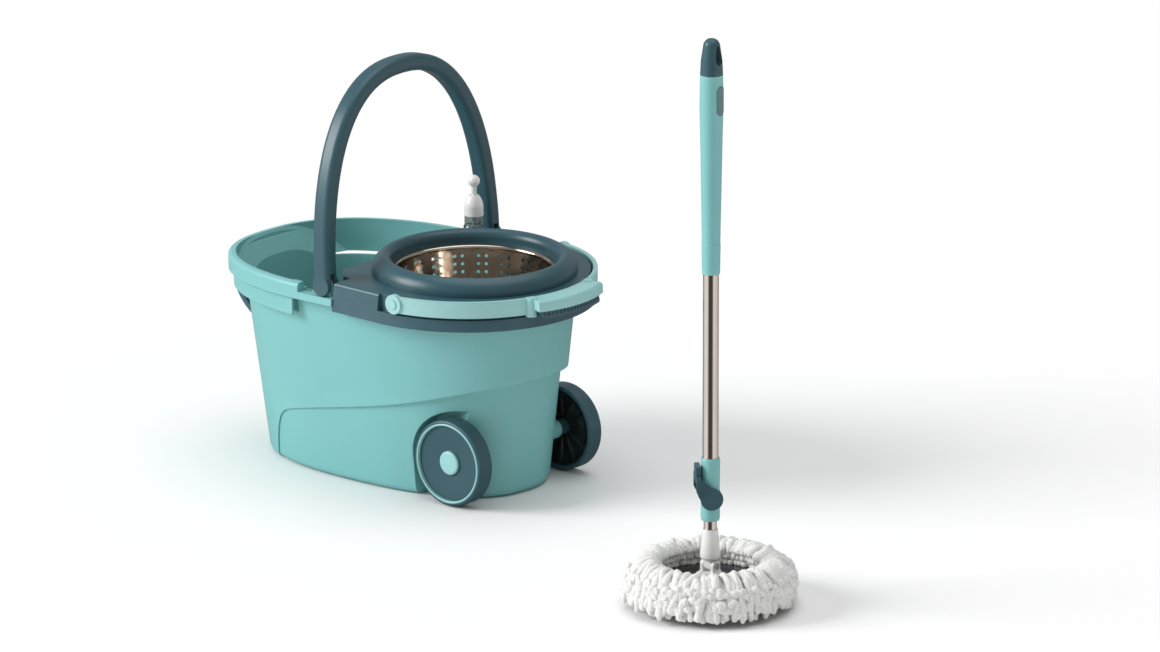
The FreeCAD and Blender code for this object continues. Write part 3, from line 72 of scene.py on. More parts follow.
def corner_pair(node: str) -> tuple[np.ndarray, np.ndarray]:
    """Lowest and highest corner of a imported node.

    Args:
        node: the node's name.

    Returns:
        Two arrays of three numbers, in metres.
    """
    low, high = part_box(node)
    return np.array(low, float), np.array(high, float)


def add_mesh(name: str, points: np.ndarray, faces: list, smooth: bool = True) -> bpy.types.Object:
    """Puts points and faces into a new mesh object at the origin.

    Args:
        name: the piece's name.
        points: an array of shape (count, 3), in metres.
        faces: lists of vertex indices, each turning left seen from outside.
        smooth: shade the faces smoothly.

    Returns:
        The new object, linked to the scene.
    """
    mesh = bpy.data.meshes.new(name)
    mesh.from_pydata(points.tolist(), [], faces)
    mesh.polygons.foreach_set("use_smooth", np.full(len(mesh.polygons), smooth))
    mesh.update()
    piece = bpy.data.objects.new(name, mesh)
    bpy.context.scene.collection.objects.link(piece)
    return piece


def grid_quads(rows: int, columns: int, wrap_rows: bool = False, wrap_columns: bool = False) -> np.ndarray:
    """Quads of a grid whose point (i, j) has the number i * columns + j.

    Args:
        rows: points along the first parameter.
        columns: points along the second parameter.
        wrap_rows: join the last row to the first.
        wrap_columns: join the last column to the first.

    Returns:
        An array of shape (quads, 4).
    """
    i = np.arange(rows if wrap_rows else rows - 1)[:, None]
    j = np.arange(columns if wrap_columns else columns - 1)[None, :]
    down = (i + 1) % rows
    right = (j + 1) % columns
    quads = np.stack(np.broadcast_arrays(i * columns + j, down * columns + j,
                                         down * columns + right, i * columns + right), axis=-1)
    return quads.reshape(-1, 4)


def unit(vectors: np.ndarray) -> np.ndarray:
    """Vectors of length one along the last axis."""
    return vectors / np.maximum(np.linalg.norm(vectors, axis=-1, keepdims=True), 1e-12)


def swept_tubes(paths: np.ndarray, radii: np.ndarray, side: np.ndarray, sides: int) -> tuple[np.ndarray, list]:
    """Closed tubes along many paths at once.

    Each ring is path + radius * (cos a * side + sin a * up), where up is side x tangent, and both ends close
    in a pole point.

    Args:
        paths: centre points, of shape (tubes, steps, 3).
        radii: ring radii, of shape (tubes, steps).
        side: a direction across each tube, of shape (tubes, 1, 3).
        sides: points in a ring.

    Returns:
        The points, of shape (count, 3), and the faces.
    """
    tubes, steps = radii.shape
    tangent = unit(np.gradient(paths, axis=1))
    across = unit(side - tangent * np.sum(side * tangent, axis=-1, keepdims=True))
    up = np.cross(tangent, across)
    angle = np.arange(sides) * 2 * math.pi / sides
    ring = (np.cos(angle)[None, None, :, None] * across[:, :, None, :]
            + np.sin(angle)[None, None, :, None] * up[:, :, None, :])
    body = paths[:, :, None, :] + radii[:, :, None, None] * ring
    start = paths[:, 0] - tangent[:, 0] * radii[:, :1] * 0.5
    end = paths[:, -1] + tangent[:, -1] * radii[:, -1:] * 0.5
    points = np.concatenate([body.reshape(tubes, -1, 3), start[:, None], end[:, None]], axis=1)
    per_tube = points.shape[1]
    quads = grid_quads(steps, sides, wrap_columns=True)[:, ::-1]
    around = np.arange(sides)
    following = (around + 1) % sides
    first_pole, last_pole = steps * sides, steps * sides + 1
    last_ring = (steps - 1) * sides
    head = np.stack([np.full(sides, first_pole), following, around], axis=1)
    tail = np.stack([np.full(sides, last_pole), last_ring + around, last_ring + following], axis=1)
    offsets = np.arange(tubes)[:, None, None] * per_tube
    all_quads = (quads[None] + offsets).reshape(-1, 4).tolist()
    all_fans = (np.concatenate([head, tail])[None] + offsets).reshape(-1, 3).tolist()
    return points.reshape(-1, 3), all_quads + all_fans


# ------------------------------------------------------------------ shader groups

class Effects:
    """Shared shader groups: each is built once and placed in every material that uses it."""

    def __init__(self) -> None:
        """Builds the groups."""
        self.grain = self._grain()
        self.wear = self._wear()
        self.dust = self._dust()
        self.brush = self._brush()

    @staticmethod
    def _group(name: str, inputs: list, outputs: list) -> tuple:
        """A new group with its sockets.

        Args:
            name: the group's name.
            inputs: (socket name, socket type, default) of each input.
            outputs: (socket name, socket type) of each output.

        Returns:
            The group, its input node and its output node.
        """
        group = bpy.data.node_groups.new(name, "ShaderNodeTree")
        for label, kind, default in inputs:
            socket = group.interface.new_socket(label, in_out="INPUT", socket_type=kind)
            socket.default_value = default
        for label, kind in outputs:
            group.interface.new_socket(label, in_out="OUTPUT", socket_type=kind)
        return group, group.nodes.new("NodeGroupInput"), group.nodes.new("NodeGroupOutput")

    def _grain(self) -> bpy.types.NodeTree:
        """Fine moulded grain: noise of two sizes added up as a height."""
        group, source, sink = self._group(
            "moulded_grain",
            [("Vector", "NodeSocketVector", (0, 0, 0)), ("Scale", "NodeSocketFloat", 900.0)],
            [("Height", "NodeSocketFloat")])
        links = group.links
        fine = group.nodes.new("ShaderNodeTexNoise")
        fine.inputs["Detail"].default_value = 2.0
        coarse = group.nodes.new("ShaderNodeTexNoise")
        coarse.inputs["Scale"].default_value = 35.0
        coarse.inputs["Detail"].default_value = 3.0
        mix = group.nodes.new("ShaderNodeMath")
        mix.operation = "MULTIPLY_ADD"
        mix.inputs[1].default_value = 0.7
        links.new(source.outputs["Vector"], fine.inputs["Vector"])
        links.new(source.outputs["Vector"], coarse.inputs["Vector"])
        links.new(source.outputs["Scale"], fine.inputs["Scale"])
        links.new(fine.outputs["Fac"], mix.inputs[0])
        links.new(coarse.outputs["Fac"], mix.inputs[2])
        links.new(mix.outputs[0], sink.inputs["Height"])
        return group

    def _wear(self) -> bpy.types.NodeTree:
        """Edge wear: convex edges, broken up by noise, turn towards a paler colour."""
        group, source, sink = self._group(
            "edge_wear",
            [("Vector", "NodeSocketVector", (0, 0, 0)), ("Color", "NodeSocketColor", (1, 1, 1, 1)),
             ("Worn", "NodeSocketColor", (1, 1, 1, 1)), ("Amount", "NodeSocketFloat", 0.3)],
            [("Color", "NodeSocketColor"), ("Mask", "NodeSocketFloat")])
        links = group.links
        shape = group.nodes.new("ShaderNodeNewGeometry")
        ramp = group.nodes.new("ShaderNodeMapRange")
        ramp.inputs["From Min"].default_value = 0.51
        ramp.inputs["From Max"].default_value = 0.60
        noise = group.nodes.new("ShaderNodeTexNoise")
        noise.inputs["Scale"].default_value = 60.0
        noise.inputs["Detail"].default_value = 5.0
        broken = group.nodes.new("ShaderNodeMath")
        broken.operation = "MULTIPLY"
        scaled = group.nodes.new("ShaderNodeMath")
        scaled.operation = "MULTIPLY"
        mix = group.nodes.new("ShaderNodeMix")
        mix.data_type = "RGBA"
        links.new(shape.outputs["Pointiness"], ramp.inputs["Value"])
        links.new(source.outputs["Vector"], noise.inputs["Vector"])
        links.new(ramp.outputs["Result"], broken.inputs[0])
        links.new(noise.outputs["Fac"], broken.inputs[1])
        links.new(broken.outputs[0], scaled.inputs[0])
        links.new(source.outputs["Amount"], scaled.inputs[1])
        links.new(scaled.outputs[0], mix.inputs["Factor"])
        links.new(source.outputs["Color"], mix.inputs["A"])
        links.new(source.outputs["Worn"], mix.inputs["B"])
        links.new(mix.outputs["Result"], sink.inputs["Color"])
        links.new(scaled.outputs[0], sink.inputs["Mask"])
        return group

    def _dust(self) -> bpy.types.NodeTree:
        """Handling and dust: broad soft patches change the colour a little and the roughness."""
        group, source, sink = self._group(
            "handling",
            [("Vector", "NodeSocketVector", (0, 0, 0)), ("Color", "NodeSocketColor", (1, 1, 1, 1)),
             ("Variation", "NodeSocketFloat", 0.06), ("Roughness", "NodeSocketFloat", 0.4),
             ("Spread", "NodeSocketFloat", 0.1)],
            [("Color", "NodeSocketColor"), ("Roughness", "NodeSocketFloat")])
        links = group.links
        noise = group.nodes.new("ShaderNodeTexNoise")
        noise.inputs["Scale"].default_value = 9.0
        noise.inputs["Detail"].default_value = 6.0
        centred = group.nodes.new("ShaderNodeMath")
        centred.operation = "SUBTRACT"
        centred.inputs[1].default_value = 0.5
        tone = group.nodes.new("ShaderNodeMath")
        tone.operation = "MULTIPLY_ADD"
        tone.inputs[2].default_value = 1.0
        shade = group.nodes.new("ShaderNodeVectorMath")
        shade.operation = "SCALE"
        rough = group.nodes.new("ShaderNodeMath")
        rough.operation = "MULTIPLY_ADD"
        links.new(source.outputs["Vector"], noise.inputs["Vector"])
        links.new(noise.outputs["Fac"], centred.inputs[0])
        links.new(centred.outputs[0], tone.inputs[0])
        links.new(source.outputs["Variation"], tone.inputs[1])
        links.new(source.outputs["Color"], shade.inputs[0])
        links.new(tone.outputs[0], shade.inputs["Scale"])
        links.new(centred.outputs[0], rough.inputs[0])
        links.new(source.outputs["Spread"], rough.inputs[1])
        links.new(source.outputs["Roughness"], rough.inputs[2])
        links.new(shade.outputs[0], sink.inputs["Color"])
        links.new(rough.outputs[0], sink.inputs["Roughness"])
        return group

    def _brush(self) -> bpy.types.NodeTree:
        """Spun metal: fine lines that follow circles about an upright axis, as roughness and height."""
        group, source, sink = self._group(
            "spun_lines",
            [("Vector", "NodeSocketVector", (0, 0, 0)), ("Density", "NodeSocketFloat", 1400.0),
             ("Roughness", "NodeSocketFloat", 0.15), ("Spread", "NodeSocketFloat", 0.1)],
            [("Roughness", "NodeSocketFloat"), ("Height", "NodeSocketFloat")])
        links = group.links
        parts = group.nodes.new("ShaderNodeSeparateXYZ")
        flat = group.nodes.new("ShaderNodeCombineXYZ")
        radius = group.nodes.new("ShaderNodeVectorMath")
        radius.operation = "LENGTH"
        ring = group.nodes.new("ShaderNodeCombineXYZ")
        noise = group.nodes.new("ShaderNodeTexNoise")
        noise.inputs["Detail"].default_value = 3.0
        centred = group.nodes.new("ShaderNodeMath")
        centred.operation = "SUBTRACT"
        centred.inputs[1].default_value = 0.5
        rough = group.nodes.new("ShaderNodeMath")
        rough.operation = "MULTIPLY_ADD"
        links.new(source.outputs["Vector"], parts.inputs[0])
        links.new(parts.outputs["X"], flat.inputs["X"])
        links.new(parts.outputs["Y"], flat.inputs["Y"])
        links.new(flat.outputs[0], radius.inputs[0])
        links.new(radius.outputs["Value"], ring.inputs["X"])
        links.new(parts.outputs["Z"], ring.inputs["Y"])
        links.new(ring.outputs[0], noise.inputs["Vector"])
        links.new(source.outputs["Density"], noise.inputs["Scale"])
        links.new(noise.outputs["Fac"], centred.inputs[0])
        links.new(centred.outputs[0], rough.inputs[0])
        links.new(source.outputs["Spread"], rough.inputs[1])
        links.new(source.outputs["Roughness"], rough.inputs[2])
        links.new(rough.outputs[0], sink.inputs["Roughness"])
        links.new(noise.outputs["Fac"], sink.inputs["Height"])
        return group


def place(material: bpy.types.Material, group: bpy.types.NodeTree, values: dict) -> bpy.types.Node:
    """Places a shared group in a material and sets its plain inputs.

    Args:
        material: the material that gets the group.
        group: one of the shared groups.
        values: input name to value.

    Returns:
        The group's node.
    """
    node = material.node_tree.nodes.new("ShaderNodeGroup")
    node.node_tree = group
    for label, value in values.items():
        node.inputs[label].default_value = value
    return node


def bare_material(name: str) -> tuple[bpy.types.Material, bpy.types.Node, bpy.types.Node]:
    """A new node material.

    Args:
        name: the material's name.

    Returns:
        The material, its Principled shader and its Texture Coordinate node.
    """
    material = bpy.data.materials.new(name)
    material.use_nodes = True
    shader = material.node_tree.nodes["Principled BSDF"]
    coordinates = material.node_tree.nodes.new("ShaderNodeTexCoord")
    return material, shader, coordinates


def with_alpha(colour: tuple) -> tuple:
    """A colour of three numbers with full alpha."""
    return (*colour, 1.0)


# ------------------------------------------------------------------ finishes

@dataclass(frozen=True)
class Plastic:
    """Moulded plastic with a fine grain, soft handling marks and paler edges."""

    name: str
    colour: tuple
    worn: tuple
    roughness: float = 0.38
    specular: float = 0.45
    coat: float = 0.0
    wear: float = 0.35
    variation: float = 0.07
    grain: float = 900.0
    depth: float = 0.05
    soft_edge: float = 1.1 * MM

    def make(self, effects: Effects) -> bpy.types.Material:
        """The material.

        Args:
            effects: the shared groups.

        Returns:
            A node material on Object coordinates.
        """
        material, shader, coordinates = bare_material(self.name)
        links = material.node_tree.links
        where = coordinates.outputs["Object"]
        hand = place(material, effects.dust, {"Color": with_alpha(self.colour), "Variation": self.variation,
                                              "Roughness": self.roughness, "Spread": 0.16})
        wear = place(material, effects.wear, {"Worn": with_alpha(self.worn), "Amount": self.wear})
        grain = place(material, effects.grain, {"Scale": self.grain})
        bump = material.node_tree.nodes.new("ShaderNodeBump")
        bump.inputs["Strength"].default_value = self.depth
        bump.inputs["Distance"].default_value = 0.0006
        edge = material.node_tree.nodes.new("ShaderNodeBevel")
        edge.samples = 4
        edge.inputs["Radius"].default_value = self.soft_edge
        links.new(edge.outputs["Normal"], bump.inputs["Normal"])
        for node in (hand, wear, grain):
            links.new(where, node.inputs["Vector"])
        links.new(hand.outputs["Color"], wear.inputs["Color"])
        links.new(wear.outputs["Color"], shader.inputs["Base Color"])
        links.new(hand.outputs["Roughness"], shader.inputs["Roughness"])
        links.new(grain.outputs["Height"], bump.inputs["Height"])
        links.new(bump.outputs["Normal"], shader.inputs["Normal"])
        shader.inputs["Specular IOR Level"].default_value = self.specular
        shader.inputs["Coat Weight"].default_value = self.coat
        shader.inputs["Coat Roughness"].default_value = 0.12
        return material


@dataclass(frozen=True)
class Metal:
    """Polished or spun metal with fine lines round an upright axis."""

    name: str
    colour: tuple
    roughness: float
    spread: float
    centre: tuple = (0.0, 0.0)
    density: float = 1400.0
    depth: float = 0.03

    def make(self, effects: Effects) -> bpy.types.Material:
        """The material.

        Args:
            effects: the shared groups.

        Returns:
            A node material on Object coordinates, centred on the axis.
        """
        material, shader, coordinates = bare_material(self.name)
        links = material.node_tree.links
        centre = material.node_tree.nodes.new("ShaderNodeMapping")
        centre.inputs["Location"].default_value = (-self.centre[0], -self.centre[1], 0)
        lines = place(material, effects.brush, {"Density": self.density, "Roughness": self.roughness,
                                                "Spread": self.spread})
        hand = place(material, effects.dust, {"Color": with_alpha(self.colour), "Variation": 0.12})
        bump = material.node_tree.nodes.new("ShaderNodeBump")
        bump.inputs["Strength"].default_value = self.depth
        bump.inputs["Distance"].default_value = 0.0003
        links.new(coordinates.outputs["Object"], centre.inputs["Vector"])
        links.new(centre.outputs["Vector"], lines.inputs["Vector"])
        links.new(coordinates.outputs["Object"], hand.inputs["Vector"])
        links.new(hand.outputs["Color"], shader.inputs["Base Color"])
        links.new(lines.outputs["Roughness"], shader.inputs["Roughness"])
        links.new(lines.outputs["Height"], bump.inputs["Height"])
        links.new(bump.outputs["Normal"], shader.inputs["Normal"])
        shader.inputs["Metallic"].default_value = 1.0
        return material


@dataclass(frozen=True)
class ClearPlastic:
    """Clear bottle plastic with a slightly uneven wall."""

    name: str
    colour: tuple
    roughness: float = 0.06

    def make(self, effects: Effects) -> bpy.types.Material:
        """The material.

        Args:
            effects: the shared groups.

        Returns:
            A node material that lets light through.
        """
        material, shader, coordinates = bare_material(self.name)
        links = material.node_tree.links
        grain = place(material, effects.grain, {"Scale": 120.0})
        bump = material.node_tree.nodes.new("ShaderNodeBump")
        bump.inputs["Strength"].default_value = 0.06
        bump.inputs["Distance"].default_value = 0.0008
        links.new(coordinates.outputs["Object"], grain.inputs["Vector"])
        links.new(grain.outputs["Height"], bump.inputs["Height"])
        links.new(bump.outputs["Normal"], shader.inputs["Normal"])
        shader.inputs["Base Color"].default_value = with_alpha(self.colour)
        shader.inputs["Roughness"].default_value = self.roughness
        shader.inputs["IOR"].default_value = 1.46
        shader.inputs["Transmission Weight"].default_value = 1.0
        return material


@dataclass(frozen=True)
class Microfibre:
    """White looped microfibre: knotty pile with shaded gaps and a soft sheen."""

    name: str
    colour: tuple
    shade: tuple
    knots: float = 420.0

    def make(self, effects: Effects) -> bpy.types.Material:
        """The material.

        Args:
            effects: the shared groups.

        Returns:
            A node material on Object coordinates.
        """
        material, shader, coordinates = bare_material(self.name)
        links = material.node_tree.links
        nodes = material.node_tree.nodes
        cells = nodes.new("ShaderNodeTexVoronoi")
        cells.inputs["Scale"].default_value = self.knots
        noise = place(material, effects.grain, {"Scale": 1500.0})
        height = nodes.new("ShaderNodeMath")
        height.operation = "MULTIPLY_ADD"
        height.inputs[1].default_value = -1.1
        bump = nodes.new("ShaderNodeBump")
        bump.inputs["Strength"].default_value = 0.8
        bump.inputs["Distance"].default_value = 0.0012
        mix = nodes.new("ShaderNodeMix")
        mix.data_type = "RGBA"
        mix.inputs["A"].default_value = with_alpha(self.colour)
        mix.inputs["B"].default_value = with_alpha(self.shade)
        for node in (cells, noise):
            links.new(coordinates.outputs["Object"], node.inputs["Vector"])
        links.new(cells.outputs["Distance"], height.inputs[0])
        links.new(noise.outputs["Height"], height.inputs[2])
        links.new(cells.outputs["Distance"], mix.inputs["Factor"])
        links.new(mix.outputs["Result"], shader.inputs["Base Color"])
        links.new(height.outputs[0], bump.inputs["Height"])
        links.new(bump.outputs["Normal"], shader.inputs["Normal"])
        shader.inputs["Roughness"].default_value = 0.95
        shader.inputs["Specular IOR Level"].default_value = 0.1
        shader.inputs["Sheen Weight"].default_value = 0.5
        shader.inputs["Sheen Roughness"].default_value = 0.5
        return material


class Slot(Enum):
    """The record's material slots."""

    MINT = "mint"
    PALE = "mint_pale"
    TEAL = "teal"
    WHITE = "white_plastic"
    CLEAR = "clear_plastic"
    GREY = "grey_plastic"
    STEEL = "steel"
    ZINC = "zinc"
    FRINGE = "fringe"


class Finishes:
    """Every material of the set, by slot."""

    def __init__(self, pole: tuple, basket: tuple) -> None:
        """Makes the materials.

        Args:
            pole: x and y of the mop's axis.
            basket: x and y of the basket's axis.
        """
        effects = Effects()
        recipes = {
            Slot.MINT: Plastic("mint_plastic", (0.200, 0.500, 0.500), (0.36, 0.66, 0.66)),
            Slot.PALE: Plastic("pale_mint_plastic", (0.30, 0.58, 0.575), (0.46, 0.72, 0.72), roughness=0.34),
            Slot.TEAL: Plastic("dark_teal_plastic", (0.030, 0.088, 0.112), (0.09, 0.18, 0.22), roughness=0.36),
            Slot.WHITE: Plastic("white_plastic", (0.82, 0.82, 0.81), (0.9, 0.9, 0.9), roughness=0.26, wear=0.1,
                                variation=0.03, depth=0.02),
            Slot.CLEAR: ClearPlastic("clear_plastic", (0.92, 0.95, 0.96)),
            Slot.GREY: Plastic("dark_plate_plastic", (0.016, 0.017, 0.018), (0.07, 0.07, 0.07), roughness=0.2),
            Slot.STEEL: Metal("pole_steel", (0.66, 0.62, 0.58), 0.13, 0.08, pole),
            Slot.ZINC: Metal("bright_steel", (0.64, 0.64, 0.64), 0.26, 0.12),
            Slot.FRINGE: Microfibre("white_microfibre", (0.93, 0.93, 0.915), (0.80, 0.80, 0.78)),
        }
        self.by_slot = {slot: recipe.make(effects) for slot, recipe in recipes.items()}
        # the warm, dark tint of the basket steel is a painted reflection: warm, dark surroundings seen in the metal
        self.basket = Metal("basket_steel_painted_warm_reflection", (0.50, 0.43, 0.36), 0.12, 0.14, basket, density=900.0).make(effects)
        self.badge = Plastic("badge_plastic", (0.085, 0.19, 0.20), (0.2, 0.33, 0.34)).make(effects)
        self.effects = effects

    def dress(self, piece: bpy.types.Object, slot: Slot) -> None:
        """Gives a new piece the material of a slot.

        Args:
            piece: a mesh object.
            slot: the slot its finish comes from.
        """
        piece.data.materials.clear()
        piece.data.materials.append(self.by_slot[slot])


def dress_frame(frame: dict, finishes: Finishes) -> None:
    """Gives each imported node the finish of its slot.

    Args:
        finishes: the materials.
    """
    for part in frame["record"]["subparts"]:
        piece = frame["nodes"][part["node"]]
        material = finishes.by_slot[Slot(part["material_slot"])]
        if part["node"].startswith("basket_") and part["material_slot"] == Slot.STEEL.value:
            material = finishes.basket
        if part["node"] == "grip_badge":
            material = finishes.badge
        for place_in_mesh in piece.material_slots:
            place_in_mesh.material = material
        LOG.info("dressed %s as %s", part["node"], part["material_slot"])


# ------------------------------------------------------------------ mop fringe

@dataclass
class Fringe:
    """The mop's ring of chenille strands, in sectors that each hold many strands."""

    finishes: Finishes
    sectors: int = 8
    layers: tuple = ((92, 0.98), (84, 0.78), (70, 0.56), (54, 0.36))
    strand_radius: float = 4.6 * MM
    tufts: int = 260
    tuft_radius: float = 5.4 * MM
    steps: int = 13
    sides: int = 8
    fibres: int = 22
    seed: int = 7
    outer: float = field(init=False)
    inner: float = field(init=False)
    top: float = field(init=False)
    centre: np.ndarray = field(init=False)

    def __post_init__(self) -> None:
        """Reads the ring's place and size from the frame."""
        low, high = corner_pair("mop_fringe")
        self.centre = (low + high) / 2
        self.centre[2] = 0.0
        self.outer = (high[0] - low[0]) / 2
        self.top = high[2]
        self.inner = self.outer * 0.50

    def layer(self, count: int, share: float, rng: np.random.Generator) -> tuple:
        """One layer of long strands.

        In the plane of its own direction a strand rises from the ring's mouth along a quarter sine to a
        crest a third of the way, then falls along a cosine to its foot, while its radius grows as a quarter
        sine. Some strands stop early, and deeper layers have a smaller share of the reach and the height.

        Args:
            count: strands in the layer.
            share: 1 for the outside of the ring, less for deeper layers.
            rng: the seeded random source.

        Returns:
            Paths (count, steps, 3), radii (count, steps) and directions (count, 1).
        """
        stop = np.where(rng.uniform(0, 1, (count, 1)) < 0.45, rng.uniform(0.7, 0.93, (count, 1)), 1.0)
        t = self.along()
        along = t * stop
        angle = (np.arange(count) + rng.uniform(-0.35, 0.35, count)) * 2 * math.pi / count
        angle = angle[:, None] + rng.uniform(0, 2 * math.pi)
        fat = self.strand_radius * rng.uniform(0.8, 1.2, (count, 1))
        limit = self.outer - fat * 1.25
        start = self.inner + fat * 1.1 + (1 - share) * 0.010
        reach = self.inner + 0.012 + (limit - self.inner - 0.012) * (0.62 + 0.38 * share)
        reach = np.minimum(reach * rng.uniform(0.96, 1.0, (count, 1)), limit)
        crest = (self.top - fat * 1.2) * (0.30 + 0.70 * share) * rng.uniform(0.95, 1.02, (count, 1))
        root = 0.036 * share + 0.010
        foot = fat * 1.15 + rng.uniform(0, 0.010, (count, 1)) * share
        radius = start + (reach - start) * np.sin(along * math.pi / 2) ** 1.3
        rise = root + (crest - root) * np.sin(np.clip(along / 0.30, 0, 1) * math.pi / 2)
        drop = np.clip((along - 0.30) / 0.70, 0, 1)
        height = rise + (foot - crest) * (1 - np.cos(drop * math.pi / 2)) ** 0.95
        wander = (rng.normal(0, 1, (count, 1)) * np.sin(t * math.pi)
                  + rng.normal(0, 1, (count, 1)) * np.sin(t * math.pi * 2)
                  + rng.normal(0, 1, (count, 1)) * t * 1.4) * 0.0029
        lift = rng.normal(0, 1, (count, 1)) * np.sin(t * math.pi * 3) * 0.0014
        turn = angle + wander / radius
        path = np.stack([self.centre[0] + radius * np.cos(turn), self.centre[1] + radius * np.sin(turn),
                         height + lift], axis=-1)
        return path, fat * self.knots(t, count, 8.5, 0.05, rng), angle

    def along(self) -> np.ndarray:
        """Steps from 0 to 1 that crowd towards both ends, of shape (1, steps)."""
        return (0.5 - 0.5 * np.cos(np.linspace(0, math.pi, self.steps)))[None, :]

    def knots(self, t: np.ndarray, count: int, waves: float, tip: float, rng: np.random.Generator) -> np.ndarray:
        """Knotty thickness along strands: a sine ripple, closed to round ends.

        Args:
            t: the parameter along a strand, of shape (1, steps).
            count: how many strands.
            waves: ripples in a strand, times pi.
            tip: the share of the length that each round end takes.
            rng: the seeded random source.

        Returns:
            Factors of shape (count, steps).
        """
        pace = rng.uniform(0.8, 1.2, (count, 1)) * waves
        ripple = 1 + 0.14 * np.sin(t * math.pi * pace + rng.uniform(0, 6, (count, 1)))
        near_end = np.clip(np.minimum(t, 1 - t) / tip, 0, 1)
        ends = np.sqrt(np.clip(1 - (1 - near_end) ** 2, 0.04, 1))
        return ripple * ends

    def short_tufts(self, rng: np.random.Generator) -> tuple:
        """Short round-ended fingers that stick out of the ring's outer side and hang a little.

        A tuft starts inside the ring at a chosen angle round the ring's section, goes out along it, and its
        fall grows with the square of the way along.

        Args:
            rng: the seeded random source.

        Returns:
            Paths (count, steps, 3), radii (count, steps) and directions (count, 1).
        """
        count = self.tufts
        t = self.along()
        angle = (np.arange(count) * 2.399963 + rng.uniform(-0.1, 0.1, count))[:, None]
        round_section = np.radians(rng.uniform(-22, 52, (count, 1)))
        fat = self.tuft_radius * rng.uniform(0.75, 1.1, (count, 1))
        middle_radius, middle_height = (self.inner + self.outer) / 2, self.top * 0.5
        wide, tall = (self.outer - self.inner) / 2 - fat * 1.1, self.top / 2 - fat * 1.15
        out = 0.45 + 0.55 * t * rng.uniform(0.9, 1.0, (count, 1))
        radius = middle_radius + wide * out * np.cos(round_section) ** 0.6
        fall = rng.uniform(0.002, 0.009, (count, 1)) * t ** 2
        height = np.maximum(middle_height + tall * out * np.sin(round_section) - fall, fat * 1.05)
        wander = rng.normal(0, 1, (count, 1)) * t * 0.0045
        turn = angle + wander / radius
        path = np.stack([self.centre[0] + radius * np.cos(turn), self.centre[1] + radius * np.sin(turn),
                         height], axis=-1)
        return path, fat * self.knots(t, count, 3.0, 0.2, rng), angle

    def pile(self, paths: np.ndarray, radii: np.ndarray, rng: np.random.Generator) -> tuple[np.ndarray, list]:
        """Loose fibres that stand out of the strands, each a narrow bent blade.

        Args:
            paths: centre lines of the strands.
            radii: ring radii of the strands.
            rng: the seeded random source.

        Returns:
            The points and the faces.
        """
        strands = paths.shape[0]
        at = rng.integers(1, self.steps - 1, (strands, self.fibres))
        rows = np.arange(strands)[:, None]
        root = paths[rows, at].reshape(-1, 3)
        fat = radii[rows, at].reshape(-1, 1)
        way = unit(rng.normal(0, 1, root.shape) + np.array([0, 0, 0.35]))
        across = unit(np.cross(way, rng.normal(0, 1, root.shape))) * 0.00016
        bend = unit(rng.normal(0, 1, root.shape)) * 0.0009
        foot = root + way * fat * 0.7
        knee = root + way * (fat + 0.0010) + bend * 0.3
        tip = root + way * (fat + 0.0022) + bend
        blades = np.stack([foot - across, foot + across, knee + across * 0.8, knee - across * 0.8, tip], axis=1)
        flat = self.held_in(blades.reshape(-1, 3))
        start = (np.arange(len(root)) * 5)[:, None]
        quads = (start + np.array([[0, 1, 2, 3]])).tolist()
        tips = (start + np.array([[3, 2, 4]])).tolist()
        return flat, quads + tips

    def held_in(self, points: np.ndarray) -> np.ndarray:
        """Points moved inside the ring's outer edge, its top and the floor."""
        held = points.copy()
        away = held[:, :2] - self.centre[:2]
        length = np.linalg.norm(away, axis=1, keepdims=True)
        held[:, :2] = self.centre[:2] + away * np.minimum(1, (self.outer - 0.0005) / np.maximum(length, 1e-9))
        held[:, 2] = np.clip(held[:, 2], 0.0005, self.top - 0.0003)
        return held

    def build(self) -> list[bpy.types.Object]:
        """Makes the sectors.

        Returns:
            The new pieces.
        """
        rng = np.random.default_rng(self.seed)
        groups = [self.layer(count, share, rng) for count, share in self.layers]
        groups.append(self.short_tufts(rng))
        paths = np.concatenate([group[0] for group in groups])
        radii = np.concatenate([group[1] for group in groups])
        angles = np.concatenate([group[2] for group in groups])
        turn = np.mod(angles[:, 0], 2 * math.pi)
        sector = np.floor(turn / (2 * math.pi) * self.sectors).astype(int)
        pieces = []
        for number in range(self.sectors):
            chosen = sector == number
            side = np.stack([-np.sin(angles[chosen]), np.cos(angles[chosen]), np.zeros_like(angles[chosen])], axis=-1)
            points, faces = swept_tubes(paths[chosen], radii[chosen], side, self.sides)
            fibre_points, fibre_faces = self.pile(paths[chosen], radii[chosen], rng)
            shift = len(points)
            faces = faces + [[index + shift for index in face] for face in fibre_faces]
            all_points = np.concatenate([self.held_in(points), fibre_points])
            piece = add_mesh(f"fringe_sector_{number + 1}", all_points, faces)
            self.finishes.dress(piece, Slot.FRINGE)
            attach(piece, "head")
            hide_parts("mop_fringe")
            pieces.append(piece)
            LOG.info("made %s with %d strands", piece.name, int(chosen.sum()))
        return pieces
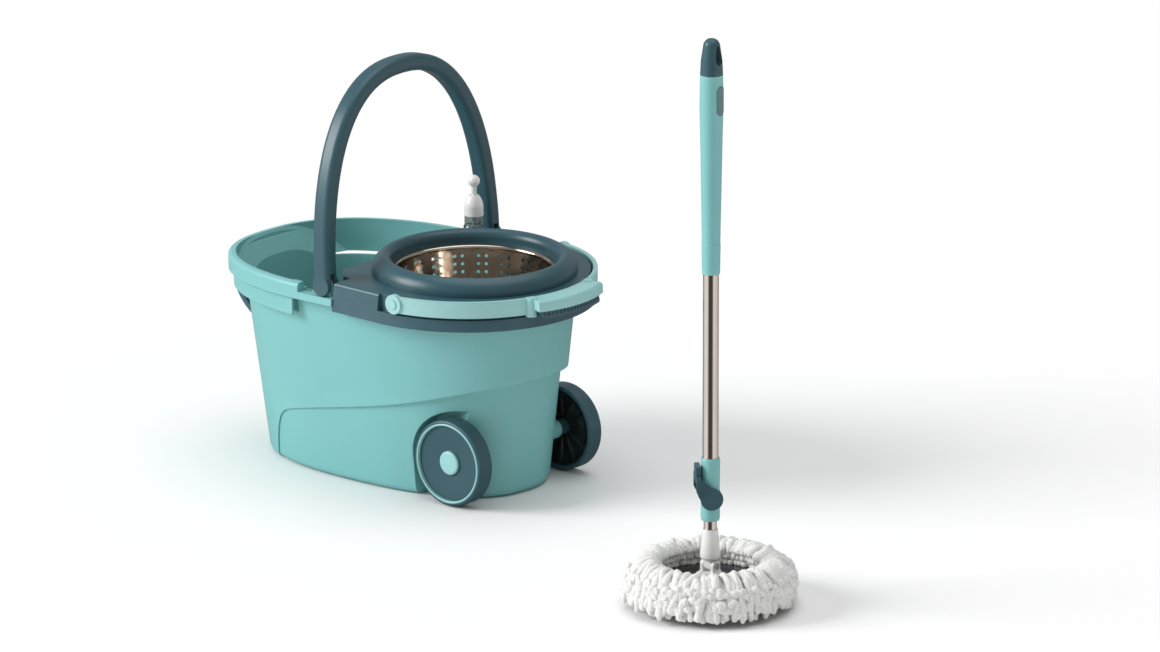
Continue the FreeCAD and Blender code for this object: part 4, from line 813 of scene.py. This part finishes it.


# ------------------------------------------------------------------ wheel backs: painted shade

@dataclass
class WheelShadeDisc:
    """A dark ribbed disc in the hollow back of one wheel: painted shade, a dark sheet where the hollow lies in
    shadow.
    """

    finishes: Finishes
    side: str
    rings: int = 22
    around: int = 240
    ribs: int = 12
    thickness: float = 0.7 * MM

    def build(self) -> bpy.types.Object:
        """Makes the dark disc of painted shade as a closed dish.

        Its depth follows the wheel's back: 11 mm at the hub, 8 mm further out and 4 mm near the tyre, and
        the ribs rise where a high power of a cosine round the axle peaks.

        Returns:
            The new piece.
        """
        low, high = corner_pair(f"wheel_{self.side}")
        outward = -1.0 if self.side == "near" else 1.0
        centre = (low + high) / 2
        wheel_radius = (high[0] - low[0]) / 2
        hub_length = 3 * MM
        back = (high[1] - hub_length) if outward < 0 else (low[1] + hub_length)
        radius = np.linspace(10.6 * MM, wheel_radius - 6.2 * MM, self.rings)[:, None]
        angle = (np.arange(self.around) * 2 * math.pi / self.around)[None, :]
        depth = np.interp(radius, [10 * MM, 38 * MM, wheel_radius - 7 * MM, wheel_radius - 4 * MM],
                          [11 * MM, 8 * MM, 4 * MM, 0.5 * MM]) - 0.35 * MM
        fade = np.sin(np.clip((radius - radius[0]) / (radius[-1] - radius[0]), 0, 1) * math.pi) ** 0.5
        rib = np.cos(angle * self.ribs / 2) ** 16 * 2.2 * MM * fade
        face = self.ring_points(centre, radius, angle, back + outward * (depth - rib))
        under = self.ring_points(centre, radius, angle, back + outward * (depth - rib + self.thickness))
        points = np.concatenate([face.reshape(-1, 3), under.reshape(-1, 3)[::-1]])
        faces = self.loop_faces()
        if outward > 0:
            faces = faces[:, ::-1]
        piece = add_mesh(f"wheel_painted_shade_{self.side}", points, faces.tolist())
        # the near-black plate plastic is painted shade for the wheel's hollow back
        self.finishes.dress(piece, Slot.GREY)
        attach(piece, f"{self.side}_wheel")
        LOG.info("made %s", piece.name)
        return piece

    def ring_points(self, centre: np.ndarray, radius: np.ndarray, angle: np.ndarray, y: np.ndarray) -> np.ndarray:
        """Points of circles about the axle: (radius cos a, y, radius sin a) from the centre."""
        x = centre[0] + radius * np.cos(angle)
        z = centre[2] + radius * np.sin(angle)
        return np.stack([x, np.broadcast_to(y, x.shape), z], axis=-1)

    def loop_faces(self) -> np.ndarray:
        """Quads of the two faces and of the two rims between them."""
        rows = self.rings
        one = grid_quads(rows, self.around, wrap_columns=True)
        count = rows * self.around
        other = 2 * count - 1 - one
        at = np.arange(self.around)
        following = (at + 1) % self.around
        inner = np.stack([at, following, 2 * count - 1 - following, 2 * count - 1 - at], axis=1)
        last = (rows - 1) * self.around
        outer = np.stack([last + following, last + at, 2 * count - 1 - last - at,
                          2 * count - 1 - last - following], axis=1)
        return np.concatenate([one, other[:, ::-1], inner, outer])


# ------------------------------------------------------------------ stage

@dataclass
class Studio:
    """A pale floor, soft light and the camera."""

    azimuth: float = 41.34
    elevation: float = 16.4
    distance: float = 16.0
    frame_width: float = 1160 * 1.2107 * MM
    sensor: float = 36.0
    aim: tuple = (0.1483, 0.1368, 0.1697)
    floor_half: float = 30.0
    mop: tuple = (0.0, 0.0)
    # colour stops of the painted reflections that the steel sees in the floor
    painted_reflection_stops: tuple = ((0.0, (0.30, 0.25, 0.21, 1)), (0.06, (0.75, 0.71, 0.67, 1)), (0.22, (0.93, 0.92, 0.91, 1)),
                         (0.29, (0.05, 0.045, 0.04, 1)), (0.42, (0.05, 0.045, 0.04, 1)),
                         (0.48, (0.90, 0.87, 0.84, 1)), (0.66, (0.70, 0.62, 0.55, 1)),
                         (0.80, (0.16, 0.13, 0.11, 1)), (1.0, (0.30, 0.25, 0.21, 1)))

    def floor(self) -> None:
        """A large level floor just under the object."""
        half = self.floor_half
        corners = np.array([[-half, -half, -0.0006], [half, -half, -0.0006], [half, half, -0.0006], [-half, half, -0.0006]])
        floor = add_mesh("studio_floor", corners, [[0, 1, 2, 3]], smooth=False)
        material, shader, coordinates = bare_material("pale_floor")
        nodes, links = material.node_tree.nodes, material.node_tree.links
        noise = nodes.new("ShaderNodeTexNoise")
        noise.inputs["Scale"].default_value = 2.0
        ramp = nodes.new("ShaderNodeMapRange")
        ramp.inputs["To Min"].default_value = 0.62
        ramp.inputs["To Max"].default_value = 0.72
        links.new(coordinates.outputs["Object"], noise.inputs["Vector"])
        links.new(noise.outputs["Fac"], ramp.inputs["Value"])
        links.new(ramp.outputs["Result"], shader.inputs["Roughness"])
        shader.inputs["Specular IOR Level"].default_value = 0.1
        # painted reflections: floor colour that only glossy rays see
        self.painted_reflections(material, shader, coordinates)
        floor.data.materials.append(material)

    def painted_reflections(self, material: bpy.types.Material, shader: bpy.types.Node, coordinates: bpy.types.Node) -> None:
        """Painted reflections: dark and light sectors round the mop that only mirrors see, standing in for black
        flags round a studio table.

        The colour is a ramp over the angle about the mop's axis, and it takes the floor's place for glossy
        rays alone.

        Args:
            material: the floor's material.
            shader: its Principled shader.
            coordinates: its Texture Coordinate node.
        """
        nodes, links = material.node_tree.nodes, material.node_tree.links
        centre = nodes.new("ShaderNodeMapping")
        centre.inputs["Location"].default_value = (-self.mop[0], -self.mop[1], 0)
        parts = nodes.new("ShaderNodeSeparateXYZ")
        angle = nodes.new("ShaderNodeMath")
        angle.operation = "ARCTAN2"
        turn = nodes.new("ShaderNodeMapRange")
        turn.inputs["From Min"].default_value = -math.pi
        turn.inputs["From Max"].default_value = math.pi
        sectors = nodes.new("ShaderNodeValToRGB")
        stops = sectors.color_ramp.elements
        stops[0].position, stops[0].color = self.painted_reflection_stops[0]
        stops[1].position, stops[1].color = self.painted_reflection_stops[-1]
        for position, colour in self.painted_reflection_stops[1:-1]:
            stops.new(position).color = colour
        path = nodes.new("ShaderNodeLightPath")
        mix = nodes.new("ShaderNodeMix")
        mix.data_type = "RGBA"
        mix.inputs["A"].default_value = (0.93, 0.93, 0.93, 1)
        links.new(coordinates.outputs["Object"], centre.inputs["Vector"])
        links.new(centre.outputs["Vector"], parts.inputs[0])
        links.new(parts.outputs["Y"], angle.inputs[0])
        links.new(parts.outputs["X"], angle.inputs[1])
        links.new(angle.outputs[0], turn.inputs["Value"])
        links.new(turn.outputs["Result"], sectors.inputs["Fac"])
        links.new(path.outputs["Is Glossy Ray"], mix.inputs["Factor"])
        links.new(sectors.outputs["Color"], mix.inputs["B"])
        links.new(mix.outputs["Result"], shader.inputs["Base Color"])

    def sun(self, name: str, toward: tuple, spread: float, strength: float) -> None:
        """One soft parallel light.

        Args:
            name: the light's name.
            toward: the direction that the light comes from.
            spread: its apparent size in degrees.
            strength: its strength.
        """
        data = bpy.data.lights.new(name, "SUN")
        data.angle = math.radians(spread)
        data.energy = strength
        lamp = bpy.data.objects.new(name, data)
        bpy.context.scene.collection.objects.link(lamp)
        lamp.location = np.array(toward) * 3
        lamp.rotation_euler = facing(-np.array(toward))

    def lights(self) -> None:
        """Key from the near left, top light, a weak fill from the right and a pale surround."""
        self.sun("key", (-0.62, -0.66, 0.42), 30, 2.55)
        self.sun("top", (0.05, 0.15, 1.0), 60, 1.25)
        self.sun("fill", (0.9, -0.3, 0.35), 50, 0.10)
        world = bpy.data.worlds.new("surround")
        world.use_nodes = True
        background = world.node_tree.nodes["Background"]
        background.inputs["Color"].default_value = (1, 1, 1, 1)
        background.inputs["Strength"].default_value = 0.36
        bpy.context.scene.world = world

    def camera(self) -> None:
        """A camera with a very long lens at the viewing angle."""
        azimuth, elevation = math.radians(self.azimuth), math.radians(self.elevation)
        back = np.array([math.sin(azimuth) * math.cos(elevation), -math.cos(azimuth) * math.cos(elevation),
                         math.sin(elevation)])
        data = bpy.data.cameras.new("view_camera")
        data.sensor_width = self.sensor
        data.lens = self.sensor * self.distance / self.frame_width
        data.clip_end = 200.0
        camera = bpy.data.objects.new("view_camera", data)
        bpy.context.scene.collection.objects.link(camera)
        camera.location = np.array(self.aim) + back * self.distance
        camera.rotation_euler = facing(-back)
        bpy.context.scene.camera = camera

    def build(self) -> None:
        """Sets the stage."""
        self.camera()
        self.floor()
        self.lights()
        bpy.context.scene.view_settings.view_transform = "Standard"


def facing(direction: np.ndarray) -> Euler:
    """The turn that points an object's -Z along a direction with +Y up.

    Args:
        direction: the direction to look in.

    Returns:
        Euler angles.
    """
    return Vector(direction).to_track_quat("-Z", "Y").to_euler()


def main() -> None:
    """Builds the set in order."""
    logging.basicConfig(level=logging.INFO, format="%(name)s: %(message)s")
    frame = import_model()
    pole = (corner_pair("outer_tube")[0] + corner_pair("outer_tube")[1]) / 2
    Studio(mop=(pole[0], pole[1])).build()
    basket = (corner_pair("basket_wall")[0] + corner_pair("basket_wall")[1]) / 2
    finishes = Finishes((pole[0], pole[1]), (basket[0], basket[1]))
    dress_frame(frame, finishes)
    Fringe(finishes).build()
    # dark discs of painted shade in the hollow backs of the wheels
    for side in ("near", "far"):
        WheelShadeDisc(finishes, side).build()


if __name__ == "__main__":
    main()
